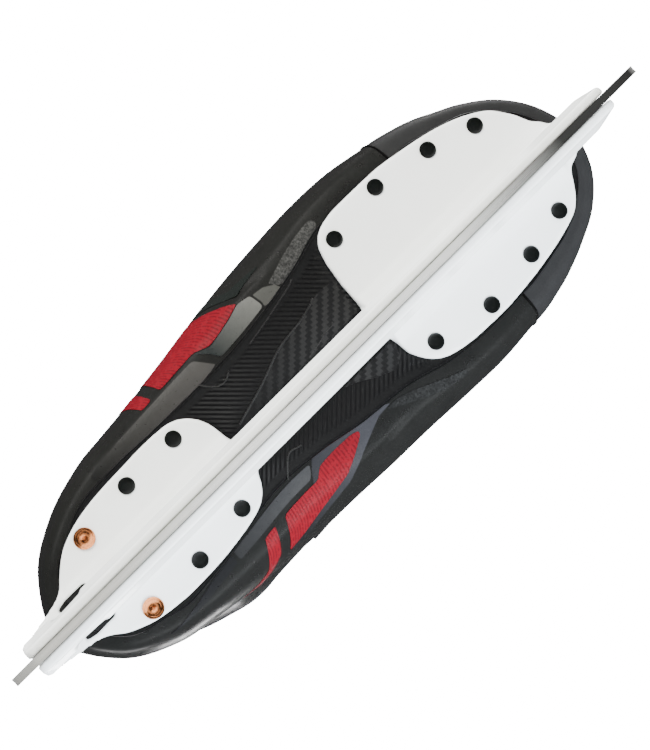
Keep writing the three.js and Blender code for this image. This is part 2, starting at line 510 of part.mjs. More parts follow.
// toe cap: a dome in polar form about the toe seam's middle
function toePoint(a, v) {
  // a from 0 at the outer side's seam, through 90 at the tip, to 180 at the inner side's seam
  const s = a <= 90 ? 0 : 1, q = a <= 90 ? a : 180 - a, k = smooth(q / 90);
  const e = table(TOE, q, 1 + s), w = table(TOE, q, 3 + s), z0 = soleZ(FRONT_X) + SHELL_Z;
  const side = s ? [40.5, 33, 24] : [48.5, 38, 24];
  const levels = [
    [e - FLANGE, z0],
    [lerp(e, w, 0.66), z0 + 0.2 * (lerp(78, 73, k) - z0)],
    [w, lerp(78, 73, k)],
    [lerp(side[0], w - 4.4, k) + 0 * w, lerp(90, 84.5, k)],
    [lerp(side[1], w - 14.5, k), lerp(99, 93.5, k)],
    [lerp(side[2], w - 32, k), lerp(105, 101.5, k)],
    [0, 109.5],
  ];
  const list = levels.map(([r, z]) => V(r, 0, z));
  const p = along(list, v * 6);
  const r = Math.max(0, p.x), b = rad(a);
  return V(FRONT_X + GAP + r * Math.sin(b), -r * Math.cos(b), p.z);
}
function toeOff(a, v, off) {
  if (v > 0.999) return toePoint(a, 1).add(V(0, 0, off));
  const d = 1, e = 0.01;
  const a0 = clamp(a - d, 0, 180), a1 = clamp(a + d, 0, 180), v0 = clamp(v - e, 0, 1), v1 = clamp(v + e, 0, 1);
  const n = toePoint(a1, v).sub(toePoint(a0, v)).cross(toePoint(a, v1).sub(toePoint(a, v0))).normalize();
  const p = toePoint(a, v);
  if (a < 0.5 || a > 179.5) n.setX(0).normalize(); // the seam face stays flat
  if (n.z < 0 && v > 0.5) n.negate();
  if (v <= 0.5 && n.dot(p.clone().sub(V(FRONT_X, 0, 85))) < 0) n.negate();
  return p.addScaledVector(n, off);
}
const toeA = [0, 12, 24, 36, 48, 60, 72, 81, 90, 99, 108, 120, 132, 144, 156, 168, 180];
const toeV = [0, 0.09, 0.17, 0.25, 0.34, 0.45, 0.57, 0.7, 0.84, 1];
const toeGrid = (off) => toeA.map((a) => toeV.map((v) => toeOff(a, v, off)));
const toeCap = gridSolid(toeGrid(0), toeGrid(-SHELL_T));

// tendon guard and its base, wrapped round the back of the collar
const guardBase = shellSolid(FULL_U.filter((u) => u > 10.1 && u < 13.9), () => rows(0.66, 0.945), 2.3, GAP);
const GUARD_Z0 = TOPLINE + 1.7;
function guardPoint(a, t, off) {
  // a: angle from straight back, -1 to 1; t: 0 at the collar, 1 at the top edge
  const z1 = GUARD_TOP - 26 * Math.abs(a) ** 2.2;
  const z = lerp(GUARD_Z0, z1, t);
  const h = (z - GUARD_Z0) / (GUARD_TOP - GUARD_Z0);
  const half = lerp(52, 38, h); // degrees
  const r = 38.8 + 1.0 * Math.abs(a) * Math.abs(a) + off + 1.2 * h;
  const lean = 10 * h * h; // the top leans back a little
  const b = rad(a * half);
  return V(HEEL_C - r * Math.cos(b) - lean, r * Math.sin(b), z);
}
const guardGrid = (off) => range(-1, 1, 8).map((a) => range(0, 1, 5).map((t) => guardPoint(a, t, off * (1 - 0.35 * t))));
const tendonGuard = gridSolid(guardGrid(2.3), guardGrid(-0.8));
const padGrid = (off) => range(-0.8, 0.8, 6).map((a) => range(0.06, 0.86, 4).map((t) => guardPoint(a, t, off)));
const tendonPad = gridSolid(padGrid(-1.2), padGrid(-4.4));

// tongue: lies under the facings, crowned between them
const tongueSide = (s, u, off) => shell(s ? 2 * LAST - u : u, 0.91, off).p;
function tongueFront(u, b) {
  // u: station along the facing, b: -1 outer side to 1 inner side
  const L = tongueSide(0, u, -SHELL_T - 5.2), R = tongueSide(1, u, -SHELL_T - 5.2), t = (b + 1) / 2;
  const k = u / 6;
  const bulge = lerp(4.0, 15.0, smooth(k)) * (1 - b * b);
  return V(lerp(L.x, R.x, t) + 0.72 * bulge, lerp(L.y, R.y, t), lerp(L.z, R.z, t) + 0.69 * bulge);
}
function tongueUpperFront(k, b) {
  // k: 0 at the fold, 1 at the top edge
  const p = tongueFront(6.0, b), w = lerp(1, 0.84, k), lift = 43 * k;
  return V(p.x + 1.0 * k + 5.0 * k * k, 4 + (p.y - 4) * w, p.z + lift * (1 - 0.12 * b * b * k) + (1 - k) * 0);
}
function thick(fn, us, bs, t) {
  const d = 0.02;
  const row = (u, b, off) => {
    const a = fn(u + d, b).sub(fn(u - d, b)), c = fn(u, clamp(b + d, -1, 1)).sub(fn(u, clamp(b - d, -1, 1)));
    const n = a.cross(c).normalize();
    if (n.x < 0) n.negate();
    return fn(u, b).addScaledVector(n, off);
  };
  const edge = (b) => (Math.abs(b) > 0.99 ? 0.45 : 1);
  return gridSolid(us.map((u) => bs.map((b) => row(u, b, 0))), us.map((u) => bs.map((b) => row(u, b, -t * edge(b)))));
}
const acrossB = [-1, -0.75, -0.5, -0.25, 0, 0.25, 0.5, 0.75, 1];
const tongueLower = thick(tongueFront, range(0.35, 5.98, 9), acrossB, 7.5);
const tongueUpper = thick(tongueUpperFront, range(0.03, 1, 4), acrossB, 7.5);
// hard shin plate on the front of the tongue
const plateRow = (off) => range(1.2, 5.6, 5).map((u) => [-0.5, -0.25, 0, 0.25, 0.5].map((b) => {
  const p = tongueFront(u, b);
  return V(p.x + 0.72 * off, p.y, p.z + 0.69 * off);
}));
const tonguePlate = gridSolid(plateRow(1.4), plateRow(0.35));

// lace: out of each eyelet, across the tongue, under the facing opposite, and out of the next eyelet
function lacePath() {
  const halfPath = (first) => {
    const pts = [];
    for (let i = 0; i < EYELETS; i++) {
      const s = (first + i) % 2, f = eyeFrame(s, i), u = eyeU(s, i);
      const e = (off) => f.p.clone().addScaledVector(f.n, off);
      const edge = (v, off) => shell(u, v, off).p;
      if (i > 0) {
        // arrives from below the facing
        pts.push(edge(0.985, -SHELL_T - 2.4));
      }
      pts.push(e(-SHELL_T - 2.2), e(4.2));
      if (i === EYELETS - 1) {
        // the end turns back over the facing and down inside the collar
        break;
      }
      pts.push(edge(eyeV(u) + 0.35 * (1 - eyeV(u)), 5.4), edge(1.0, 5.0));
      // over the tongue
      const s2 = 1 - s, f2 = eyeFrame(s2, i + 1);
      const um = (Math.min(u, 2 * LAST - u) + Math.min(eyeU(s2, i + 1), 2 * LAST - eyeU(s2, i + 1))) / 2;
      const sg = s ? 1 : -1;
      const over = first === 0 ? 5.3 : 2.1;
      for (const [b, h] of [[0.42 * sg, lerp(over, 3.6, 0.45)], [0, over], [-0.42 * sg, lerp(over, 2.2, 0.6)]]) {
        const ub = um - 0.26 * (b * sg);
        const p = tongueFront(ub, b);
        pts.push(V(p.x + 0.72 * (h + 1.2), p.y, p.z + 0.69 * (h + 1.2)));
      }
    }
    return pts;
  };
  const a = halfPath(0), b = halfPath(1);
  // bar between the two lowest eyelets, under the facings
  const l = eyeFrame(0, 0), r = eyeFrame(1, 0);
  const mid = tongueFront(Math.min(eyeU(0, 0), 24), 0);
  const bar = [shell(eyeU(0, 0), 0.985, -SHELL_T - 2.4).p, V(mid.x + 2.4, mid.y, mid.z + 2.0), shell(eyeU(1, 0), 0.985, -SHELL_T - 2.4).p];
  return [...a.reverse(), ...bar, ...b];
}
const lace = tube(lacePath(), LACE_R, 5);

// ---------------------------------------------------------------- assembly
const skate = new THREE.Group();
const mat = (color, roughness, metalness = 0) => new THREE.MeshStandardMaterial({ color, roughness, metalness });
const white = mat(0xe9ecea, 0.22);
const steel = mat(0xaeaca8, 0.3, 0.95);
const black = mat(0x0b0c0d, 0.35);
const copper = mat(0xc47a4a, 0.3, 0.9);
const sole = mat(0x131313, 0.4);
const charcoal = mat(0x2f3032, 0.6);
const quarterBlack = mat(0x1b1b1c, 0.28);
const felt = mat(0x2a2b2d, 0.95);
const lining = mat(0x202123, 0.9);
const lacing = mat(0x101011, 0.85);
const foam = mat(0x3a3b3e, 0.95);
const gray = mat(0x3b3b3d, 0.4);
const add = (name, geometry, material) => {
  const m = new THREE.Mesh(geometry, material);
  m.name = name;
  skate.add(m);
};
add("runner", runner, steel);
add("blade_holder", bladeHolder, white);
add("trigger", trigger, charcoal);
add("trigger_pin", triggerPin, steel);
add("latch_spring", latchSpring, steel);
const rivetTop = (x) => soleZ(x) + SOLE_T + 2.6;
RIVETS_FRONT.forEach(([x, y], i) =>
  add("rivet_front_" + (i + 1), blackRivet(x, y, FRONT_PLATE_TOP - PLATE_T, rivetTop(x)), black));
RIVETS_REAR.forEach(([x, y], i) =>
  add("rivet_rear_" + (i + 1), blackRivet(x, y, REAR_PLATE_TOP - PLATE_T, rivetTop(x)), black));
RIVETS_HEEL.forEach(([x, y], i) =>
  add("rivet_copper_" + (i + 1), copperRivet(x, y, REAR_PLATE_TOP - PLATE_T, rivetTop(x)), copper));
add("outsole", outsole, sole);
add("insole_board", insoleBoard, gray);
add("footbed", footbed, foam);
add("quarter_lateral", quarter(0), quarterBlack);
add("quarter_medial", quarter(1), quarterBlack);
add("toe_cap", toeCap, charcoal);
add("eyestay_lateral", eyestay(0), gray);
add("eyestay_medial", eyestay(1), gray);
add("liner", liner, lining);
add("collar_padding", collarPadding, lining);
add("tendon_guard_base", guardBase, quarterBlack);
add("tendon_guard", tendonGuard, quarterBlack);
add("tendon_pad", tendonPad, foam);
add("tongue_lower", tongueLower, felt);
add("tongue_upper", tongueUpper, felt);
add("tongue_plate", tonguePlate, charcoal);
add("lace", lace, lacing);
for (const s of [0, 1])
  for (let i = 0; i < EYELETS; i++) add("eyelet_" + (s ? "medial_" : "lateral_") + (i + 1), eyelet(s, i), black);

export default skate;
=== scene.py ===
# Ice hockey skate: the looks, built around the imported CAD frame. Metres; the forms below are in millimetres.
import math

import bmesh
import bpy
import numpy as np
from mathutils import Matrix, Vector


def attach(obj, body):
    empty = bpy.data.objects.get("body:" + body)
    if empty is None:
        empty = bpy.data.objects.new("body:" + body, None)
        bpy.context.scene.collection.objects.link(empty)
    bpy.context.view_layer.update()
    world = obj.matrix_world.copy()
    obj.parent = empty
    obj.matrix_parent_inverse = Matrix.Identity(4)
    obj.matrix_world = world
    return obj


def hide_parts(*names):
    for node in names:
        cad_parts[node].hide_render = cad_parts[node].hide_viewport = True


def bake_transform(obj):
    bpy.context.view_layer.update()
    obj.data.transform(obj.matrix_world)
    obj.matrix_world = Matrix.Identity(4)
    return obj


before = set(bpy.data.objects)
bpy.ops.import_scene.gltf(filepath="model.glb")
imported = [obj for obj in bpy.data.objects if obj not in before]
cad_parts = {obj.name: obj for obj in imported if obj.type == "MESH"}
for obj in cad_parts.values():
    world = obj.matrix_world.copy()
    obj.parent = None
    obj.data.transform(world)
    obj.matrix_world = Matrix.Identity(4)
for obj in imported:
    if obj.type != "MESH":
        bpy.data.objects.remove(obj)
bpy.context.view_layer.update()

# ------------------------------------------------------------------ camera
PITCH = math.radians(7.5)
look = Vector((math.sin(PITCH), 0, math.cos(PITCH)))
e_s = Vector((math.cos(PITCH), 0, -math.sin(PITCH)))
right = (0.7094 * e_s + 0.7048 * Vector((0, 1, 0))).normalized()
up = (0.7048 * e_s - 0.7094 * Vector((0, 1, 0))).normalized()
cam_data = bpy.data.cameras.new("camera")
cam_data.sensor_width = 36.0
cam_data.lens = 1290 / 750 * 36.0
cam_data.clip_start = 0.02
cam_data.clip_end = 30
cam = bpy.data.objects.new("camera", cam_data)
bpy.context.scene.collection.objects.link(cam)
m = Matrix((right, up, -look)).transposed().to_4x4()
m.translation = Vector((-0.067, 0, -0.4263))
cam.matrix_world = m
bpy.context.scene.camera = cam


# ------------------------------------------------------------------ boot form, in millimetres
GAP = 0.3
FRONT_PLATE_TOP, REAR_PLATE_TOP, PLATE_T = 53.5, 63.5, 3.5
SOLE_T, SHELL_T, LINER_T, FLANGE, SHELL_Z = 3.0, 3.0, 2.0, 3.0, 3.8
FRONT_X, HEEL_C, TOPLINE = 74.0, -95.0, 197.0
TOE = [
    [0, 41.5, 31.5, 53.8, 44.6], [15, 41.8, 32.0, 52.7, 44.8], [30, 43.5, 34.0, 52.8, 46.4],
    [45, 47.5, 38.5, 55.2, 49.8], [60, 50.5, 44.5, 59.4, 56.0], [75, 53.0, 50.5, 62.9, 61.8], [90, 54.0, 54.0, 65.2, 65.2],
]
SIDE = [
    [74, 41.5, 31.5, 53.8, 44.6, 78, 48.5, 40.5, 90, 38, 33, 99, 24, 24, 105],
    [55, 43.5, 32, 56.9, 46.1, 80, 51, 42.5, 99, 41, 36, 114, 26, 26, 123],
    [35, 42, 30, 57.6, 45.7, 82, 52, 43, 108, 43, 39.5, 130, 28.5, 29, 144],
    [15, 37, 25, 56.7, 44.9, 85, 51, 43, 118, 44, 43, 148, 31, 33.5, 164],
    [-5, 33.5, 23, 55.1, 44.6, 88, 49, 42.5, 127, 44, 46, 165, 33.5, 38, 184],
    [-25, 31.5, 19.5, 52.6, 43.95, 92, 46, 42, 135, 44, 49, 182, 36, 42.5, 205],
    [-45, 31, 18, 49.6, 43.6, 95, 43.5, 42, 140, 44.5, 51, 192, 40, 46.5, 223],
    [-65, 31, 21, 47.0, 42.3, 95, 42, 41, 142, 45, 51, 187, 46, 52, 213],
    [-80, 31.5, 23.5, 45.3, 40.7, 95, 40.5, 39.5, 142, 44.5, 50, 180, 47, 53, 203],
    [-95, 31, 25, 43.3, 38.4, 95, 38.5, 37, 142, 42.5, 47, 175, 45.5, 50, 198.5],
]
HEEL = [
    [30, 31, 26.5, 42.0, 39.6, 38, 37, 41.2, 43, 44.5, 46.8, 197],
    [60, 35.5, 34.0, 45.8, 45.0, 38.2, 38, 39.4, 40, 42, 43, TOPLINE],
    [90, 38.5, 38.5, 51.0, 51.0, 38.5, 38.5, 37.6, 37.6, 39, 39, TOPLINE],
]


def smooth(t):
    t = np.clip(t, 0, 1)
    return t * t * (3 - 2 * t)


def lerp(a, b, t):
    return a + (b - a) * t


def sole_z(x):
    return lerp(REAR_PLATE_TOP + GAP, FRONT_PLATE_TOP + GAP, smooth((np.asarray(x, float) + 44) / 66))


def make_net():
    out = []
    for s in (0, 1):
        sg, rows = (1 if s else -1), []
        for q in SIDE:
            x, e, w, zw = q[0], q[1 + s], q[3 + s], q[5]
            z0 = float(sole_z(x)) + SHELL_Z
            rows.append([
                (x, sg * (e - FLANGE), z0), (x, sg * lerp(e, w, 0.66), z0 + 0.2 * (zw - z0)), (x, sg * w, zw),
                (x, sg * q[6 + s], q[8]), (x, sg * q[9 + s], q[11]), (x, sg * q[12 + s], q[14]),
            ])
        for h in HEEL:
            a, z0 = math.radians(h[0]), float(sole_z(HEEL_C)) + SHELL_Z

            def p(r, z, a=a, h=h, sg=sg):
                return (HEEL_C - r * math.sin(a), 0.0 if h[0] == 90 else sg * r * math.cos(a), z)

            rows.append([
                p(h[1 + s] - FLANGE, z0), p(lerp(h[1 + s], h[3 + s], 0.66), z0 + 0.2 * (95 - z0)), p(h[3 + s], 95),
                p(h[5 + s], 142), p(h[7 + s], 175), p(h[9 + s], h[11]),
            ])
        out.append(rows)
    last = len(out[0]) - 1
    full = out[0] + [out[1][2 * last - k] for k in range(last + 1, 2 * last + 1)]
    n = np.array(full, float)
    n = np.concatenate([2 * n[:1] - n[1:2], n, 2 * n[-1:] - n[-2:-1]], 0)
    n = np.concatenate([2 * n[:, :1] - n[:, 1:2], n, 2 * n[:, -1:] - n[:, -2:-1]], 1)
    return n, last


NET, LAST = make_net()


def cr_w(t):
    t = np.asarray(t, float)
    return np.stack([
        0.5 * (-t + 2 * t**2 - t**3), 0.5 * (2 - 5 * t**2 + 3 * t**3), 0.5 * (t + 4 * t**2 - 3 * t**3), 0.5 * (-(t**2) + t**3)], -1)


def shell_point(u, v):
    u, v = np.broadcast_arrays(np.asarray(u, float), np.asarray(v, float))
    i = np.clip(np.floor(u), 0, 2 * LAST - 1).astype(int)
    k = v * 5
    j = np.clip(np.floor(k), 0, 4).astype(int)
    wu, wv = cr_w(u - i), cr_w(k - j)
    out = np.zeros(u.shape + (3,))
    for a in range(4):
        for b in range(4):
            out += (wu[..., a] * wv[..., b])[..., None] * NET[i + a, j + b]
    return out


def unit(a):
    return a / np.maximum(np.linalg.norm(a, axis=-1, keepdims=True), 1e-12)


def shell_normal(u, v):
    u, v = np.broadcast_arrays(np.asarray(u, float), np.asarray(v, float))
    u0, u1 = np.clip(u - 0.02, 0, 2 * LAST), np.clip(u + 0.02, 0, 2 * LAST)
    v0, v1 = np.clip(v - 0.004, 0, 1), np.clip(v + 0.004, 0, 1)
    n = np.cross(shell_point(u1, v) - shell_point(u0, v), shell_point(u, v1) - shell_point(u, v0))
    edge = (u < 0.01) | (u > 2 * LAST - 0.01)
    n[..., 0] = np.where(edge, 0, n[..., 0])
    return unit(n) * OUT


OUT = 1.0
_t = shell_normal(4.0, 0.4)
OUT = -1.0 if _t[1] > 0 else 1.0


def shell(u, v, off=0.0):
    off = np.asarray(off, float)
    return shell_point(u, v) + shell_normal(u, v) * off[..., None]


# ------------------------------------------------------------------ mesh helpers
def mesh_object(name, verts, faces, smooth=40.0):
    """verts in millimetres."""
    me = bpy.data.meshes.new(name)
    me.from_pydata([tuple(v) for v in (np.asarray(verts, float) * 0.001)], [], [tuple(int(i) for i in f) for f in faces])
    me.validate()
    o = bpy.data.objects.new(name, me)
    bpy.context.scene.collection.objects.link(o)
    bm = bmesh.new()
    bm.from_mesh(me)
    bmesh.ops.remove_doubles(bm, verts=bm.verts, dist=1e-6)
    bmesh.ops.recalc_face_normals(bm, faces=bm.faces)
    bm.to_mesh(me)
    bm.free()
    shade(o, smooth)
    return o


def shade(o, angle=40.0):
    me = o.data
    me.polygons.foreach_set("use_smooth", [True] * len(me.polygons))
    if angle < 179:
        me.set_sharp_from_angle(angle=math.radians(angle))
    me.update()


def bake(o, angle=None):
    """Applies the modifiers."""
    dg = bpy.context.evaluated_depsgraph_get()
    me = bpy.data.meshes.new_from_object(o.evaluated_get(dg))
    o.modifiers.clear()
    old = o.data
    o.data = me
    bpy.data.meshes.remove(old)
    if angle is not None:
        shade(o, angle)
    return o


def bevel(o, width, segments=2, angle=35.0):
    b = o.modifiers.new("bevel", "BEVEL")
    b.width = width * 0.001
    b.segments = segments
    b.limit_method = "ANGLE"
    b.angle_limit = math.radians(angle)
    b.harden_normals = False
    return o


def cutout(o, *tools, solver="MANIFOLD"):
    for t in tools:
        b = o.modifiers.new("cut", "BOOLEAN")
        b.operation = "DIFFERENCE"
        b.object = t
        b.solver = solver
    bake(o)
    for t in tools:
        bpy.data.objects.remove(t)
    return o


def grid_faces(n, m, base=0, flip=False):
    i, j = np.meshgrid(np.arange(n - 1), np.arange(m - 1), indexing="ij")
    a = base + i * m + j
    f = np.stack([a, a + m, a + m + 1, a + 1], -1).reshape(-1, 4)
    return f[:, ::-1] if flip else f


def grid_solid(name, outer, inner, smooth=40.0):
    """Closed solid between two grids of points."""
    n, m = outer.shape[:2]
    v = np.concatenate([outer.reshape(-1, 3), inner.reshape(-1, 3)])
    k = n * m
    f = [grid_faces(n, m), grid_faces(n, m, k, True)]
    i = np.arange(n - 1)
    for j, fl in ((0, False), (m - 1, True)):
        a = i * m + j
        q = np.stack([a, a + k, a + m + k, a + m], -1)
        f.append(q[:, ::-1] if fl else q)
    j = np.arange(m - 1)
    for i0, fl in ((0, True), (n - 1, False)):
        a = i0 * m + j
        q = np.stack([a, a + k, a + 1 + k, a + 1], -1)
        f.append(q[:, ::-1] if fl else q)
    return mesh_object(name, v, np.concatenate(f).tolist(), smooth)


def lathe(name, profile, sides=32, smooth=35.0):
    """profile: closed or axis-to-axis list of (radius, height), turned about Z, millimetres."""
    v, f = [], []
    n = len(profile)
    for k in range(sides):
        a = 2 * math.pi * k / sides
        for r, z in profile:
            v.append((r * math.cos(a), r * math.sin(a), z))
    closed = profile[0][0] > 0 and profile[0] == profile[-1]
    for k in range(sides):
        b, c = k * n, ((k + 1) % sides) * n
        for i in range(n - 1):
            f.append((b + i, b + i + 1, c + i + 1, c + i))
    return mesh_object(name, v, f, smooth) if not closed else mesh_object(name, v, f, smooth)


def place(o, normal, pos):
    """Turns a piece whose axis is Z to a direction, and puts it at a point in millimetres."""
    q = Vector((0, 0, 1)).rotation_difference(Vector(normal))
    o.data.transform(Matrix.Translation(Vector(pos) * 0.001) @ q.to_matrix().to_4x4())
    return o


def sweep(name, pts, section, closed=False, normals=None, smooth=50.0, caps=True):
    """Section (list of (a, b) in mm) along points. a is along the side, b along the given normals."""
    pts = np.asarray(pts, float)
    n = len(pts)
    tang = np.zeros_like(pts)
    if closed:
        tang = np.roll(pts, -1, 0) - np.roll(pts, 1, 0)
    else:
        tang[1:-1] = pts[2:] - pts[:-2]
        tang[0], tang[-1] = pts[1] - pts[0], pts[-1] - pts[-2]
    tang = unit(tang)
    if normals is None:
        nn = np.zeros_like(pts)
        cur = np.array([0, 0, 1.0]) if abs(tang[0, 2]) < 0.9 else np.array([1.0, 0, 0])
        for i in range(n):
            cur = cur - tang[i] * (cur @ tang[i])
            cur = cur / np.linalg.norm(cur)
            nn[i] = cur
    else:
        nn = np.asarray(normals, float)
        nn = unit(nn - tang * (nn * tang).sum(-1, keepdims=True))
    side = np.cross(tang, nn)
    m = len(section)
    v = np.concatenate([(pts + a * side + b * nn)[:, None] for a, b in section], 1).reshape(-1, 3)
    f = []
    for i in range(n if closed else n - 1):
        b, c = i * m, ((i + 1) % n) * m
        for j in range(m):
            f.append((b + j, b + (j + 1) % m, c + (j + 1) % m, c + j))
    if not closed and caps:
        f.append(tuple(range(m)))
        f.append(tuple((n - 1) * m + j for j in reversed(range(m))))
    return mesh_object(name, v, f, smooth)


def circle(r, k, squash=1.0):
    return [(r * math.cos(2 * math.pi * i / k), r * squash * math.sin(2 * math.pi * i / k)) for i in range(k)]


def spline(points, per=8, closed=False):
    """Catmull-Rom through the points."""
    p = np.asarray(points, float)
    if closed:
        e = np.concatenate([p[-1:], p, p[:2]])
        n = len(p)
    else:
        e = np.concatenate([2 * p[:1] - p[1:2], p, 2 * p[-1:] - p[-2:-1]])
        n = len(p) - 1
    out = []
    for i in range(n):
        w = cr_w(np.linspace(0, 1, per, endpoint=False))
        out.append(w @ e[i : i + 4])
    if not closed:
        out.append(p[-1:])
    return np.concatenate(out)


def join(name, objects, smooth=40.0):
    bm = bmesh.new()
    for o in objects:
        bm.from_mesh(o.data)
    me = bpy.data.meshes.new(name)
    bm.to_mesh(me)
    bm.free()
    for o in objects:
        bpy.data.objects.remove(o)
    o = bpy.data.objects.new(name, me)
    bpy.context.scene.collection.objects.link(o)
    shade(o, smooth)
    return o


def finish_piece(o, body, material, replaced=(), blend=None):
    o.data.materials.clear()
    o.data.materials.append(material)
    if blend:
        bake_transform(o)
    else:
        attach(o, body)
    if replaced:
        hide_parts(*replaced)
    return o


# ------------------------------------------------------------------ materials
class Mat:
    """A small wrapper for a procedural Principled material."""

    def __init__(self, name, base=(0.5, 0.5, 0.5), rough=0.5, metal=0.0, **sockets):
        self.m = bpy.data.materials.new(name)
        self.m.use_nodes = True
        self.t = self.m.node_tree
        self.b = self.t.nodes["Principled BSDF"]
        self.b.inputs["Base Color"].default_value = (*base, 1)
        self.b.inputs["Roughness"].default_value = rough
        self.b.inputs["Metallic"].default_value = metal
        for k, v in sockets.items():
            self.b.inputs[k.replace("_", " ")].default_value = v
        self.coord = self.t.nodes.new("ShaderNodeTexCoord").outputs["Object"]

    def node(self, kind, **props):
        n = self.t.nodes.new(kind)
        for k, v in props.items():
            setattr(n, k, v)
        return n

    def put(self, socket, value):
        if isinstance(value, bpy.types.NodeSocket):
            self.t.links.new(value, socket)
        else:
            socket.default_value = value

    def mapped(self, scale=(1000, 1000, 1000), rot=(0, 0, 0)):
        n = self.node("ShaderNodeMapping")
        self.put(n.inputs["Vector"], self.coord)
        n.inputs["Scale"].default_value = scale
        n.inputs["Rotation"].default_value = rot
        return n.outputs["Vector"]

    def noise(self, scale=1.0, detail=3.0, rough=0.5, vector=None, distort=0.0):
        n = self.node("ShaderNodeTexNoise")
        self.put(n.inputs["Vector"], vector if vector is not None else self.mapped())
        n.inputs["Scale"].default_value = scale
        n.inputs["Detail"].default_value = detail
        n.inputs["Roughness"].default_value = rough
        n.inputs["Distortion"].default_value = distort
        return n.outputs["Fac"]

    def voronoi(self, scale=1.0, vector=None, feature="F1"):
        n = self.node("ShaderNodeTexVoronoi", feature=feature)
        self.put(n.inputs["Vector"], vector if vector is not None else self.mapped())
        n.inputs["Scale"].default_value = scale
        return n.outputs["Distance"]

    def wave(self, scale=1.0, vector=None, direction="X", distort=0.0, profile="SIN", detail=1.0):
        n = self.node("ShaderNodeTexWave", bands_direction=direction, wave_profile=profile)
        self.put(n.inputs["Vector"], vector if vector is not None else self.mapped())
        n.inputs["Scale"].default_value = scale
        n.inputs["Distortion"].default_value = distort
        n.inputs["Detail"].default_value = detail
        return n.outputs["Fac"]

    def math(self, op, a, b=0.0, clamp=False):
        n = self.node("ShaderNodeMath", operation=op, use_clamp=clamp)
        self.put(n.inputs[0], a)
        self.put(n.inputs[1], b)
        return n.outputs[0]

    def remap(self, value, a, b, c, d):
        n = self.node("ShaderNodeMapRange")
        self.put(n.inputs[0], value)
        for i, x in enumerate((a, b, c, d)):
            n.inputs[i + 1].default_value = x
        return n.outputs[0]

    def mix(self, fac, a, b):
        n = self.node("ShaderNodeMix", data_type="RGBA")
        self.put(n.inputs[0], fac)
        for s, v in ((n.inputs[6], a), (n.inputs[7], b)):
            self.put(s, (*v, 1) if isinstance(v, tuple) and len(v) == 3 else v)
        return n.outputs[2]

    def color(self, value):
        self.put(self.b.inputs["Base Color"], value)
        return self

    def rough(self, value):
        self.put(self.b.inputs["Roughness"], value)
        return self

    def bump(self, height, distance_mm, strength=1.0, normal=None):
        n = self.node("ShaderNodeBump")
        n.inputs["Strength"].default_value = strength
        n.inputs["Distance"].default_value = distance_mm * 0.001
        self.put(n.inputs["Height"], height)
        if normal is not None:
            self.put(n.inputs["Normal"], normal)
        self.put(self.b.inputs["Normal"], n.outputs["Normal"])
        return n.outputs["Normal"]

    def xyz(self, vector=None):
        n = self.node("ShaderNodeSeparateXYZ")
        self.put(n.inputs[0], vector if vector is not None else self.mapped())
        return n.outputs


def plastic_white():
    k = Mat("white_moulded_plastic", rough=0.2, Coat_Weight=0.25, Coat_Roughness=0.06)
    big, fine = k.noise(0.05, 2), k.noise(1.4, 4, 0.6)
    k.color(k.mix(big, (0.80, 0.815, 0.80), (0.86, 0.865, 0.865)))
    k.rough(k.remap(fine, 0.3, 0.7, 0.16, 0.27))
    k.bump(k.noise(0.35, 3), 0.05, 0.5)
    return k.m


def steel_brushed():
    k = Mat("ground_steel", metal=0.75, rough=0.27)
    streak = k.noise(1.0, 5, 0.65, k.mapped((18, 2600, 1900)))
    spots = k.noise(0.25, 3)
    c = k.mix(spots, (0.80, 0.785, 0.745), (0.93, 0.915, 0.87))
    # painted reflection: the ground underside is painted darker towards the nose, and a little at the tail, where the
    # dark room is reflected
    geo, part = k.node("ShaderNodeNewGeometry"), k.node("ShaderNodeSeparateXYZ")
    k.put(part.inputs[0], geo.outputs["Normal"])
    down = k.remap(part.outputs[2], -0.45, -0.7, 0.0, 1.0)
    x = k.xyz()[0]
    painted_nose_reflection = k.math("MULTIPLY", k.remap(x, 54, 106, 0.0, 0.98), down)
    # painted reflection at the tail: a darker brownish tone on the downward faces
    tail = k.math("MULTIPLY", k.remap(x, -45, -115, 0.0, 0.7), down)
    c = k.mix(painted_nose_reflection, c, (0.026, 0.026, 0.025))
    k.color(k.mix(tail, c, (0.37, 0.35, 0.305)))
    k.rough(k.remap(streak, 0.25, 0.75, 0.2, 0.42))
    k.bump(streak, 0.02, 0.5)
    return k.m


def rivet_black():
    k = Mat("black_rivet_steel", rough=0.38, Specular_IOR_Level=0.2)
    n = k.noise(1.6, 4)
    k.color(k.mix(n, (0.0012, 0.0016, 0.0014), (0.0028, 0.0034, 0.0031)))
    k.rough(k.remap(n, 0.3, 0.7, 0.3, 0.5))
    k.bump(k.noise(3.0, 3), 0.03, 0.5)
    return k.m


def rivet_copper():
    k = Mat("copper_rivet", metal=1.0, rough=0.25)
    n, f = k.noise(0.8, 4), k.noise(4.0, 3)
    k.color(k.mix(n, (0.62, 0.20, 0.070), (0.78, 0.31, 0.125)))
    k.rough(k.remap(f, 0.3, 0.7, 0.2, 0.38))
    k.bump(f, 0.03, 0.4)
    return k.m


def sole_black():
    k = Mat("outsole_composite", rough=0.35, Specular_IOR_Level=0.3)
    n = k.noise(0.6, 4)
    k.color(k.mix(n, (0.0018, 0.0018, 0.0019), (0.0036, 0.0036, 0.0038)))
    k.rough(k.remap(k.noise(2.5, 3), 0.3, 0.7, 0.28, 0.45))
    k.bump(k.noise(5.0, 2), 0.02, 0.5)
    return k.m


